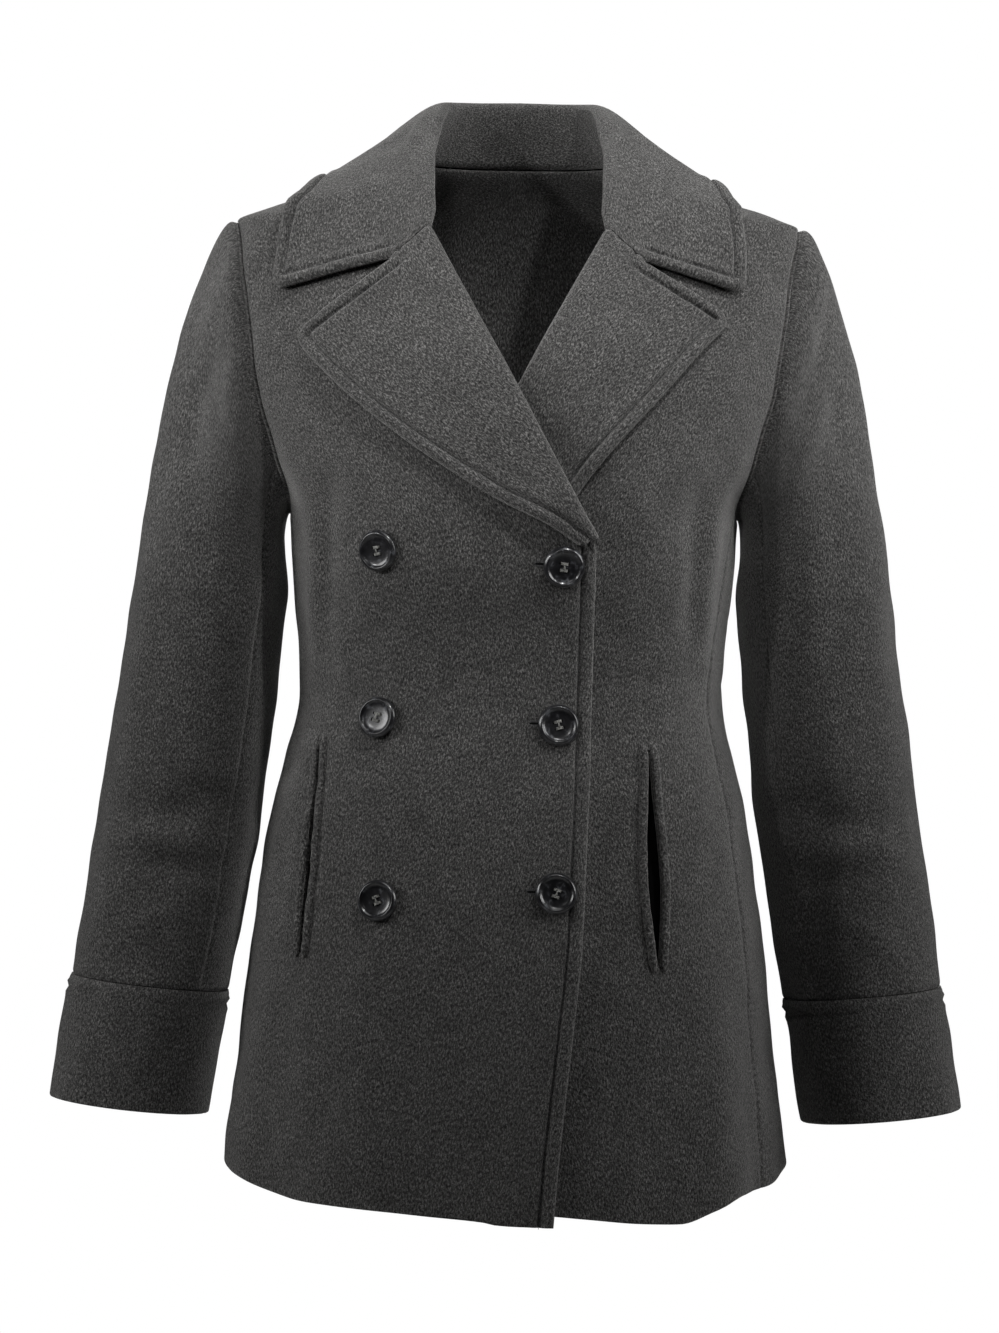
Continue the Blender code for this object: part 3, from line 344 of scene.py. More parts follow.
# Outer edge of the collar where it lies on the body: back centre to the tip.
collarEdge = table(
    "part    left    right   level",
    (0.00, 180.0, 180.0, -0.0400),
    (0.20, 152.0, 152.0, -0.0395),
    (0.38, 126.0, 126.0, -0.0330),
    (0.50, 106.0, 106.0, -0.0260),
    (0.60, 90.0, 90.0, -0.0240),
    (0.72, 69.0, 70.0, -0.0298),
    (0.82, 50.0, 53.5, -0.0480),
    (0.91, 49.2, 53.5, -0.0725),
    (1.00, 48.5, 53.6, -0.1000),
)
# Outer edges of the lapels, from the foot up to the tip. The left one starts under the right one.
lapelEdges = {
    "right": table(
        "part    x       level",
        (0.00, 0.0420, -0.2720),
        (0.12, 0.0240, -0.2600),
        (0.27, -0.0100, -0.2440),
        (0.42, -0.0440, -0.2235),
        (0.57, -0.0780, -0.2000),
        (0.78, -0.1190, -0.1660),
        (0.95, -0.1455, -0.1375),
        (1.00, -0.1490, -0.1310),
    ),
    "left": table(
        "part    x       level",
        (0.00, 0.0300, -0.2575),
        (0.14, 0.0420, -0.2400),
        (0.30, 0.0570, -0.2180),
        (0.62, 0.0950, -0.1740),
        (0.84, 0.1220, -0.1420),
        (0.96, 0.1405, -0.1215),
        (1.00, 0.1440, -0.1160),
    ),
}


# A column's value at places along the table's first column: smooth, with no overshoot.
def read(rows, name, at):
    x = next(iter(rows.values()))
    y = rows[name]
    step = np.diff(x)
    slope = np.diff(y) / step
    same = slope[:-1] * slope[1:] > 0
    total = np.where(same, slope[:-1] + slope[1:], 1)
    middle = np.where(same, 2 * slope[:-1] * slope[1:] / total, 0)
    tangent = np.concatenate(([slope[0]], middle, [slope[-1]]))
    at = np.clip(at, x[0], x[-1])
    i = np.clip(np.searchsorted(x, at, side="right") - 1, 0, len(step) - 1)
    t = (at - x[i]) / step[i]
    values = (1 + 2 * t) * (1 - t) ** 2 * y[i] + t * t * (3 - 2 * t) * y[i + 1]
    return values + step[i] * (t * (1 - t) ** 2 * tangent[i] + t * t * (t - 1) * tangent[i + 1])


def ease(value, start, end):
    t = np.clip((value - start) / (end - start), 0, 1)
    return t * t * (3 - 2 * t)


def mix(a, b, t):
    return a + (b - a) * t


def unit(vectors):
    return vectors / np.linalg.norm(vectors, axis=-1, keepdims=True)


# How far the folds of a table stand out at each place.
def bumps(folds, angle, level):
    out = np.zeros(np.broadcast(angle, level).shape)
    for middle, height, wide, long, depth in zip(*folds.values()):
        turn = (angle - middle + 180) % 360 - 180
        out = out + depth * np.exp(-(turn / wide) ** 2 - ((level - height) / long) ** 2)
    return out


# Points on the body's outer face before any fold.
def plainTorso(angle, level):
    angle, level = np.broadcast_arrays(np.asarray(angle, float), np.asarray(level, float))
    across, ahead = np.sin(np.radians(angle)), np.cos(np.radians(angle))
    depth = np.where(ahead > 0, read(bodySections, "front", level), read(bodySections, "back", level))
    power = 2 / read(bodySections, "square", level)
    x = read(bodySections, "half", level) * np.sign(across) * np.abs(across) ** power
    y = -depth * np.sign(ahead) * np.abs(ahead) ** power
    return np.stack([x, y, level], -1)


def torsoNormal(angle, level):
    turn = plainTorso(angle + 0.5, level) - plainTorso(angle - 0.5, level)
    rise = plainTorso(angle, level + 0.001) - plainTorso(angle, level - 0.001)
    return unit(np.cross(turn, rise))


# Points on the body, folds included, moved out from its outer face.
def torso(angle, level, out=0.0):
    points = plainTorso(angle, level)
    creases = troughs(bodyCreases, body["perDegree"], angle, level)
    away = bumps(bodyFolds, angle, level) + creases + uneven(points) + out
    return points + torsoNormal(angle, level) * away[..., None]


# Angle of the front's point that lies at x.
def angleAt(x, level):
    share = np.clip(np.abs(x) / read(bodySections, "half", level), 0, 1)
    return np.degrees(np.arcsin(share ** (read(bodySections, "square", level) / 2))) * np.sign(x)


# Share of the way from the break up to the neck seam.
def upFront(level):
    return (level - closing["breakLevel"]) / (body["neckFront"] - closing["breakLevel"])


# The over front's roll line.
def rollX(level):
    return closing["edgeX"] - (body["neckFrontX"] + closing["edgeX"]) * upFront(level)


def overEdgeX(level):
    return np.where(level < closing["breakLevel"], read(frontEdge, "x", level), rollX(level))


def underEdgeX(level):
    rise = np.clip(upFront(level), 0, 1)
    return -closing["underEdgeX"] + (body["neckFrontX"] + closing["underEdgeX"]) * rise


# How far a front's outer face stands off the body: up over the under lapel, or tucked in.
def frontOut(side, x, level):
    if side < 0:
        near = 1 - ease(rollX(level) - x, *closing["liftWidth"])
        along = ease(level, *closing["liftStarts"]) * (1 - ease(level, *closing["liftEnds"]))
        return closing["lift"] * near * along
    past = x - overEdgeX(level)
    tuck = mix(closing["tuckLow"], closing["tuck"], ease(level, *closing["tuckDeeper"]))
    return -tuck * (1 - ease(past, *closing["tuckWidth"])) * (1 - ease(level, *closing["tuckEnds"]))


def hemLevel(side, angle):
    return read(hemLevels, "left" if side > 0 else "right", side * angle)


# Angle and level round the left armhole: 0 its top, 90 the front, 180 its foot.
def armhole(turn):
    swing = np.sin(np.radians(turn))
    reach = np.where(swing >= 0, body["frontReach"], -body["backReach"])
    middle = (body["armholeTop"] + body["armholeFoot"]) / 2
    height = (body["armholeTop"] - body["armholeFoot"]) / 2
    return 90 - reach * np.abs(swing) ** body["armholePower"], middle + height * np.cos(np.radians(turn))


# Angle and level of the left half of the neck seam: 0 back centre, 0.5 shoulder, 1 front.
def neckSeam(part):
    forward = np.clip(2 * part - 1, 0, 1)
    level = read(neckLine, "level", forward)
    front = angleAt(read(neckLine, "x", forward), level)
    back = 180 - 180 * np.clip(part, 0, 0.5)
    backLevel = body["neckBack"] * ease(back, 90, 180)
    return np.where(part > 0.5, front, back), np.where(part > 0.5, level, backLevel)


# A body seam from the hem up to the armhole.
def seamLine(name, rows):
    foot = armhole(180 - body["sideHalf"])[1]
    start = hemLevel(np.sign(seamAngles[name][0]), seamAngles[name][0])
    level = mix(start, foot, rows)
    return read(seamAngles, name, level), level


# Normals of a net from its own neighbours; closed when its columns run all the way round.
def netNormals(points, closed=False):
    along = np.gradient(points, axis=0)
    if closed:
        steps = unit(np.roll(points, -1, axis=1) - points)
        across = steps + np.roll(steps, 1, axis=1)
    else:
        steps = unit(np.diff(points, axis=1))
        across = np.concatenate([steps[:, :1], steps[:, 1:] + steps[:, :-1], steps[:, -1:]], axis=1)
    return unit(np.cross(across, along))


# The same net with its edges moved in by half a seam gap.
def drawnIn(points, skip=()):
    moved = points.copy()
    edges = {
        "hem": (np.s_[0], np.s_[1]),
        "top": (np.s_[-1], np.s_[-2]),
        "inner": (np.s_[:, 0], np.s_[:, 1]),
        "outer": (np.s_[:, -1], np.s_[:, -2]),
    }
    for name, (edge, neighbour) in edges.items():
        if name not in skip:
            moved[edge] += unit(points[neighbour] - points[edge]) * body["seam"]
    return moved


# ---- fine nets: the same forms as the solids, with creases, soft edges and stitched grooves ----

fine = {
    "edges": (0.0, 0.25, 0.6, 1.1, 1.8, 3.0, 4.5, 6.2, 7.6, 8.6, 9.3, 9.9, 10.5, 11.3, 12.5, 14.5, 17.5),
    "hem": (0.0, 0.4, 1.0, 1.8, 3.0, 5.0),
    "seams": (0.0, 0.35, 0.8, 1.4, 2.2, 3.5, 5.5),
    "lowRow": 32,           # millimetres of a body's row up to the armhole, and above its foot
    "highRow": 19,
    "lowFaces": 104,        # faces up to the armhole's foot, and above it
    "highFaces": 66,
    "frontFaces": 56,       # faces across each piece, between its dense edges
    "backFaces": 46,
    "sideFaces": 26,
    "ditch": 0.00075,       # how far the cloth rolls in at a seam
    "ditchWidth": 0.0017,
    "groove": 0.00160,      # depth of a row of topstitching in the nap
    "grooveWidth": 0.0011,
    "puff": 0.0019,         # how far the cloth swells between the edge and the stitching
    "puffPower": 0.7,
    "puffBeyond": (0.5, 0.0035, 0.003),     # its share past the stitching, how far and how wide
    "roundReach": 0.55,     # of the wall, for an edge that ends round
    "roundDepth": 0.94,
    "unevenness": 0.00045,
    "frontInset": 0.0100,
    "lapelInset": 0.0090,
    "collarInset": 0.0090,
    "cuffInset": 0.0090,
    "fold": 10,             # faces round a folded edge
    "stand": 7,
    "fall": 26,
    "tipRadius": 0.0115,
    "dense": 0.0004,        # between the points of the lines that distances are measured from
    "tipBack": 12,          # columns and rows from a tip that give the ways of its edges
}

# Creases of the body: each runs from one place to another, and fades past its ends.
bodyCreases = table(
    "angle0 level0 angle1 level1 wide    depth",
    (30.0, -0.3650, 58.0, -0.3590, 0.0060, -0.0020),
    (34.0, -0.3760, 62.0, -0.3710, 0.0070, 0.0014),
    (57.0, -0.2500, 61.0, -0.3450, 0.0130, 0.0032),
    (49.0, -0.2400, 52.0, -0.3300, 0.0100, -0.0024),
    (-57.0, -0.2500, -65.0, -0.3500, 0.0120, 0.0032),
    (-49.0, -0.2300, -56.0, -0.3350, 0.0100, -0.0022),
    (-66.0, -0.3550, -50.0, -0.3640, 0.0060, -0.0010),
    (-40.0, -0.4300, -36.0, -0.6800, 0.0150, -0.0012),
    (14.0, -0.4500, 10.0, -0.7000, 0.0130, 0.0010),
    (-10.0, -0.5400, -8.0, -0.7000, 0.0140, -0.0009),
    (92.0, -0.3700, 84.0, -0.3600, 0.0060, -0.0012),
    (120.0, -0.2700, 150.0, -0.3600, 0.0120, 0.0016),
    (-116.0, -0.2650, -146.0, -0.3500, 0.0130, 0.0018),
    (126.0, -0.3650, 165.0, -0.3720, 0.0065, -0.0016),
    (-128.0, -0.3700, -172.0, -0.3640, 0.0070, -0.0014),
    (136.0, -0.3850, 176.0, -0.3900, 0.0080, 0.0011),
    (160.0, -0.0700, 172.0, -0.2300, 0.0160, -0.0012),
    (-150.0, -0.0800, -166.0, -0.2400, 0.0150, 0.0010),
)


# How far a table's creases stand out: places on the cloth are a turn, in metres, and a level.
def troughs(creases, perDegree, angle, level):
    out = np.zeros(np.broadcast(angle, level).shape)
    for a, z, b, w, wide, depth in zip(*creases.values()):
        run = np.array([(b - a) * perDegree, w - z])
        across = ((angle - a + 180) % 360 - 180) * perDegree
        up = level - z
        t = np.clip((across * run[0] + up * run[1]) / (run @ run), 0, 1)
        apart = (across - t * run[0]) ** 2 + (up - t * run[1]) ** 2
        out = out + depth * np.exp(-apart / wide ** 2) * (0.55 + 0.45 * np.sin(pi * t))
    return out


wear = {
    "waves": 26,
    "pitches": (70, 240),   # radians a metre
    "evens": 3.6,           # what their sum is divided by
}
waves = np.random.default_rng(7).normal(size=(wear["waves"], 3))
waves = unit(waves) * np.random.default_rng(8).uniform(*wear["pitches"], (wear["waves"], 1))
phases = np.random.default_rng(9).uniform(0, 2 * pi, wear["waves"])


# Slow, shallow unevenness of cloth that has been worn.
def uneven(points):
    return np.sin(points @ waves.T + phases).sum(-1) * fine["unevenness"] / wear["evens"]


# Places along a line of some length: dense by its ends, even between them.
def spaced(length, first, last, count):
    length = np.asarray(length, float)[..., None]
    first, last = np.array(first) / 1000, np.array(last)[::-1] / 1000
    room = length / max(first[-1] + last[0], 1e-6) * 0.7
    shrink = np.minimum(1, room)
    low = first * shrink / length
    high = 1 - last * shrink / length
    even = np.linspace(0, 1, count + 2)[1:-1]
    return np.concatenate([low, low[..., -1:] + (high[..., :1] - low[..., -1:]) * even, high], -1)


def lineTree(lines):
    points = np.concatenate(lines)
    tree = KDTree(len(points))
    for i, point in enumerate(points):
        tree.insert(point, i)
    tree.balance()
    return tree


# How far along a line each of its points is.
def alongOf(line):
    return np.concatenate([[0], np.cumsum(np.linalg.norm(np.diff(line, axis=0), axis=-1))])


# A line's points at places along it.
def pointsAt(line, along, places):
    return np.stack([np.interp(places, along, column) for column in line.T], -1)


# A line with its points close together.
def dense(line):
    along = alongOf(line)
    return pointsAt(line, along, np.linspace(0, along[-1], max(2, int(along[-1] / fine["dense"]))))


# Distance of each point of a net from the nearest of some lines.
def distance(points, lines):
    if not lines:
        return np.full(points.shape[:-1], 1.0)
    tree = lineTree([dense(line) for line in lines])
    flat = [tree.find(point)[2] for point in points.reshape(-1, 3)]
    return np.array(flat).reshape(points.shape[:-1])


# How far a free edge of cloth draws in on each side to end round.
def rounding(apart, wall):
    t = 1 - np.clip(apart / (wall * fine["roundReach"]), 0, 1)
    return wall / 2 * fine["roundDepth"] * (1 - np.sqrt(1 - np.clip(t, 0, 1) ** 2))


def ditch(apart):
    return fine["ditch"] * np.exp(-(apart / fine["ditchWidth"]) ** 2)


# Height of cloth that is stitched through, at each distance from its edge.
def stitched(apart, inset):
    groove = fine["groove"] * np.exp(-((apart - inset) / fine["grooveWidth"]) ** 2)
    swell = fine["puff"] * np.sin(pi * np.clip(apart / inset, 0, 1)) ** fine["puffPower"]
    share, away, width = fine["puffBeyond"]
    beyond = fine["puff"] * share * np.exp(-((apart - inset - away) / width) ** 2)
    return swell + beyond - groove


def uvOf(points):
    across = np.linalg.norm(np.diff(points, axis=1), axis=-1)
    across = np.concatenate([np.zeros((len(points), 1)), np.cumsum(across, axis=1)], 1)
    across = across - across.mean(1, keepdims=True)
    along = np.linalg.norm(np.diff(points, axis=0), axis=-1).mean(1)
    along = np.concatenate([[0], np.cumsum(along)])[:, None] + np.zeros_like(across)
    return np.stack([across, along], -1)


# Even angles all the way round, in radians.
def turnsOf(count):
    return np.linspace(0, 2 * pi, count + 1)[:-1]


def placed(name, data):
    made = bpy.data.objects.new(name, data)
    bpy.context.scene.collection.objects.link(made)
    return made


# A piece's mesh with its modifiers in it.
def applied(piece):
    graph = bpy.context.evaluated_depsgraph_get()
    mesh = bpy.data.meshes.new_from_object(piece.evaluated_get(graph))
    piece.modifiers.clear()
    return mesh


# A piece's mesh with a cutter's form taken out of it.
def cutAway(piece, cutter, crossing=False):
    cut = piece.modifiers.new("cut", "BOOLEAN")
    cut.object = cutter
    cut.operation = "DIFFERENCE"
    cut.solver = "EXACT"
    cut.use_self = crossing
    mesh = applied(piece)
    bpy.data.objects.remove(cutter)
    return mesh


def facesOut(mesh):
    shape = bmesh.new()
    shape.from_mesh(mesh)
    bmesh.ops.recalc_face_normals(shape, faces=shape.faces)
    shape.to_mesh(mesh)
    shape.free()


def quadsOf(ids):
    return np.stack([ids[:-1, :-1], ids[:-1, 1:], ids[1:, 1:], ids[1:, :-1]], -1).reshape(-1, 4)


# A closed cloth wall from pairs of nets, its outer face and its inner one, as one smooth mesh.
def clothPiece(name, nets, finish):
    outer = np.concatenate([net[0].reshape(-1, 3) for net in nets])
    inner = np.concatenate([net[1].reshape(-1, 3) for net in nets])
    uv = np.concatenate([uvOf(net[0]).reshape(-1, 2) + (i * 0.7, 0) for i, net in enumerate(nets)])
    _, first, back = np.unique(np.round(outer, 6) + 0.0, axis=0, return_index=True, return_inverse=True)
    back = back.reshape(-1)
    count = len(first)
    faces, corners, start = [], [], 0
    for net in nets:
        rows, columns = net[0].shape[:2]
        ids = np.arange(start, start + rows * columns).reshape(rows, columns)
        start += rows * columns
        quads = quadsOf(ids)
        faces.append(back[quads])
        corners.append(quads)
    faces, corners = np.concatenate(faces), np.concatenate(corners)
    edges = np.stack([faces, np.roll(faces, -1, 1)], -1).reshape(-1, 2)
    edgeCorners = np.stack([corners, np.roll(corners, -1, 1)], -1).reshape(-1, 2)
    _, which, uses = np.unique(np.sort(edges, 1), axis=0, return_inverse=True, return_counts=True)
    rim = (uses[which.reshape(-1)] == 1) & (edges[:, 0] != edges[:, 1])
    a, b = edges[rim].T
    ca, cb = edgeCorners[rim].T
    rims = np.stack([b, a, a + count, b + count], -1)
    quads = np.concatenate([faces, faces[:, ::-1] + count, rims])
    quadCorners = np.concatenate([corners, corners[:, ::-1], np.stack([cb, ca, ca, cb], -1)])
    mesh = bpy.data.meshes.new(name + "_cloth")
    points = np.concatenate([outer[first], inner[first]])
    mesh.vertices.add(len(points))
    mesh.vertices.foreach_set("co", points.astype(np.float32).ravel())
    mesh.loops.add(quads.size)
    mesh.loops.foreach_set("vertex_index", quads.astype(np.int32).ravel())
    mesh.polygons.add(len(quads))
    mesh.polygons.foreach_set("loop_start", np.arange(0, quads.size, 4, dtype=np.int32))
    layer = mesh.uv_layers.new(name="cloth")
    layer.data.foreach_set("uv", uv[quadCorners].astype(np.float32).ravel())
    mesh.update(calc_edges=True)
    mesh.validate()
    facesOut(mesh)
    mesh.shade_smooth()
    mesh.materials.append(finish)
    return placed(name + "_cloth", mesh)


# ---- the body ----

# Rows that the body's nets are counted in: 0 is the hem, then the armhole's foot and the lapels'
# break, the corner of the neck, and the shoulder.
armRow, neckRow, topRow = 14, 22, 28


# Share of the way from one row up to another.
def rowShare(row, start, end):
    return np.clip((row - start) / (end - start), 0, 1)


# One line of angles and levels up to a row, and another above it.
def joinedAt(row, at, below, above):
    return [np.where(row > at, high, low) for low, high in zip(below, above)]


# Inner and outer ends of a front's rows.
def frontLines(side, row):
    lower, upper = rowShare(row, 0, armRow), rowShare(row, armRow, neckRow)
    level = mix(body["hem"], closing["breakLevel"], lower)
    level = level + (body["neckFront"] - closing["breakLevel"]) * upper
    x = overEdgeX(level) if side < 0 else underEdgeX(level)
    neckAngle, neckLevel = neckSeam(1 - 0.5 * rowShare(row, neckRow, topRow))
    inner = joinedAt(row, neckRow, (angleAt(x, level), level), (side * neckAngle, neckLevel))
    seam = seamLine("frontLeft" if side > 0 else "frontRight", lower)
    arm = armhole((180 - body["sideHalf"]) * (1 - rowShare(row, armRow, topRow)))
    return inner, joinedAt(row, armRow, seam, (side * arm[0], arm[1]))


# Inner and outer ends of a half back's rows.
def backLines(side, row):
    lower, upper = rowShare(row, 0, armRow), rowShare(row, armRow, neckRow)
    foot = armhole(180)[1]
    level = mix(hemLevel(side, side * 180), foot, lower) + (body["neckBack"] - foot) * upper
    neckAngle, neckLevel = neckSeam(0.5 * rowShare(row, neckRow, topRow))
    inner = joinedAt(row, neckRow, (side * 180.0, level), (side * neckAngle, neckLevel))
    seam = seamLine("backLeft" if side > 0 else "backRight", lower)
    half = body["sideHalf"]
    arm = armhole(180 + half + (180 - half) * rowShare(row, armRow, topRow))
    return inner, joinedAt(row, armRow, seam, (side * arm[0], arm[1]))


def sideLines(side, row):
    names = ("frontLeft", "backLeft") if side > 0 else ("frontRight", "backRight")
    return [seamLine(name, row / armRow) for name in names]


def bodyNet(side, lines, row, first, last, count):
    inner, outer = lines
    coarse = np.linspace(0, 1, 13)
    angle = mix(inner[0][:, None], outer[0][:, None], coarse)
    level = mix(inner[1][:, None], outer[1][:, None], coarse)
    length = np.linalg.norm(np.diff(plainTorso(angle, level), axis=1), axis=-1).sum(1)
    share = spaced(length, first, last, count)
    angle = mix(inner[0][:, None], outer[0][:, None], share)
    level = mix(inner[1][:, None], outer[1][:, None], share)
    drop = hemLevel(side, angle) - level[0]
    return angle, level + drop * np.clip(1 - row[:, None] / armRow * body["hemGone"], 0, 1) ** 2


# Rows of a body piece: dense by the hem and by the seam at its top.
def bodyRows(top, lower, upper):
    low = np.array(fine["hem"]) / fine["lowRow"]
    high = top - np.array(fine["seams"])[::-1] / fine["highRow" if upper else "lowRow"]
    middle = np.linspace(low[-1], armRow if upper else high[0], lower)[1:]
    if not upper:
        middle = middle[:-1]
    rows = np.concatenate([low, middle, np.linspace(armRow, high[0], upper + 1)[1:-1], high])
    if upper:
        rows[np.abs(rows - neckRow).argmin()] = neckRow
    return rows


tallRows = bodyRows(topRow, fine["lowFaces"], fine["highFaces"])


def bodyWall(angle, level, out, edges, seams, inset=None, stitches=None, skip=()):
    points = torso(angle, level, out)
    free, sewn = distance(points, edges(points)), distance(points, seams(points))
    pull = rounding(free, body["wall"])
    shape = -pull - ditch(sewn)
    if inset:
        shape = shape + stitched(distance(points, stitches(points)), inset)
    outer = drawnIn(torso(angle, level, out + shape), skip)
    return outer, drawnIn(torso(angle, level, out - body["wall"] + pull), skip), free


def makeFront(side, word, finish):
    row = tallRows
    angle, level = bodyNet(side, frontLines(side, row), row, fine["edges"], fine["seams"], fine["frontFaces"])
    out = frontOut(side, plainTorso(angle, level)[..., 0], level)
    low, neck = row <= armRow, row >= neckRow

    def edges(points):
        return [points[low, 0], points[0]]

    def seams(points):
        return [points[:, -1], points[-1], points[neck, 0]]

    inset = fine["frontInset"] if side < 0 else None
    nets = bodyWall(angle, level, out, edges, seams, inset, lambda points: [points[low, 0]])
    return clothPiece("front_" + word, [nets[:2]], finish), nets


def makeBack(finish):
    nets = []
    row = tallRows
    for side in (1, -1):
        lines = backLines(side, row)
        angle, level = bodyNet(side, lines, row, (0.0,), fine["seams"], fine["backFaces"])
        neck = row >= neckRow
        wall = bodyWall(
            angle, level, 0.0, lambda points: [points[0]],
            lambda points: [points[:, -1], points[-1], points[neck, 0]], skip=("inner",),
        )
        nets.append(wall[:2])
    return clothPiece("back", nets, finish)


def makeSide(side, word, finish):
    row = bodyRows(armRow, fine["lowFaces"], 0)
    lines = sideLines(side, row)
    angle, level = bodyNet(side, lines, row, fine["seams"], fine["seams"], fine["sideFaces"])
    share = (angle[-1] - angle[-1, 0]) / (angle[-1, -1] - angle[-1, 0])
    turns = 180 + body["sideHalf"] * (2 * share - 1)
    armAngle, armLevel = armhole(turns)
    near = ease(row / armRow, body["sideTurns"], 1)[:, None]
    angle = angle + near * (side * armAngle - angle[-1])
    level = level + near * (armLevel - level[-1])
    wall = bodyWall(
        angle, level, 0.0, lambda points: [points[0]],
        lambda points: [points[:, 0], points[:, -1], points[-1]],
    )
    return clothPiece("side_" + word, [wall[:2]], finish)


# ---- sleeves ----

sleeveCreases = table(
    "turn0  level0  turn1  level1  wide    depth",
    (35.0, -0.1100, 80.0, -0.1650, 0.0075, 0.0012),
    (55.0, -0.1350, 100.0, -0.2050, 0.0070, -0.0013),
    (20.0, -0.1700, 30.0, -0.3100, 0.0120, 0.0012),
    (62.0, -0.2400, 66.0, -0.4200, 0.0140, -0.0012),
    (84.0, -0.4350, 128.0, -0.4480, 0.0060, -0.0016),
    (70.0, -0.4750, 118.0, -0.4900, 0.0070, 0.0014),
    (92.0, -0.5120, 132.0, -0.5250, 0.0060, -0.0013),
    (60.0, -0.5400, 100.0, -0.5250, 0.0080, 0.0010),
    (200.0, -0.4100, 250.0, -0.4350, 0.0070, -0.0016),
    (210.0, -0.4700, 262.0, -0.4600, 0.0070, 0.0014),
    (300.0, -0.1250, 262.0, -0.2000, 0.0080, -0.0013),
    (285.0, -0.2500, 276.0, -0.4000, 0.0140, 0.0012),
    (340.0, -0.2200, 345.0, -0.3800, 0.0150, -0.0010),
)
# Creases that only one sleeve has: the ridge by the armhole and the long breaks down the front.
oneSleeve = {
    "right": table(
        "turn0  level0  turn1  level1  wide    depth",
        (58.0, -0.0780, 112.0, -0.2300, 0.0100, 0.0042),
        (36.0, -0.1150, 84.0, -0.2700, 0.0130, -0.0026),
        (78.0, -0.3000, 96.0, -0.5600, 0.0160, -0.0020),
        (40.0, -0.3600, 50.0, -0.5400, 0.0150, 0.0014),
    ),
    "left": table(
        "turn0  level0  turn1  level1  wide    depth",
        (28.0, -0.0720, 84.0, -0.1460, 0.0080, 0.0030),
        (34.0, -0.1000, 94.0, -0.1840, 0.0080, -0.0026),
        (48.0, -0.1260, 106.0, -0.2260, 0.0090, 0.0034),
        (72.0, -0.2340, 84.0, -0.3770, 0.0120, -0.0026),
        (106.0, -0.4300, 128.0, -0.5650, 0.0100, -0.0034),
        (60.0, -0.4200, 76.0, -0.5500, 0.0140, 0.0014),
    ),
}


# Points round the arm at one height of its middle.
def armRing(turn, level, side):
    out, ahead = np.cos(np.radians(turn)), np.sin(np.radians(turn))
    across = read(armRings, "across", level) * out
    x = read(armRings, "x", level) + across
    y = read(armRings, "y", level) - read(armRings, "deep", level) * ahead
    return np.stack([side * x, y, level + read(armRings, "tilt", level) * across], -1)


# Where the sleeve stands in the armhole, and which way it sets off.
def sleeveStart(turn, side):
    angle, level = armhole(turn)
    point = torso(side * angle, level)
    normal = torsoNormal(side * angle, level)
    ahead = [torso(side * a, l) for a, l in (armhole(turn + 0.5), armhole(turn - 0.5))]
    inward = unit(np.cross(normal, ahead[0] - ahead[1])) * side
    foot = point + inward * sleeve["inset"]
    head = ease(np.cos(np.radians(turn)), *sleeve["capHead"])[:, None]
    lean = mix(*(np.array(way) * (side, 1, 1) for way in sleeve["capLean"]), head)
    heading = unit(mix(*sleeve["capNormal"], head) * normal + lean)
    return foot - normal * sleeve["sunk"], foot + normal * sleeve["stand"], heading, head


def sleeveTurns():
    first, last = sleeve["frontSeam"] * 360, sleeve["backSeam"] * 360
    parts = []
    for start, turn, count in zip((last, first), (first + 360 - last, last - first), sleeve["around"]):
        share = spaced(turn * sleeve["perDegree"], fine["seams"], fine["seams"], count)
        parts.append(start + turn * share)
    over, under = parts
    return np.concatenate([over[:-1], under[:-1] + 360]), len(over) - 1


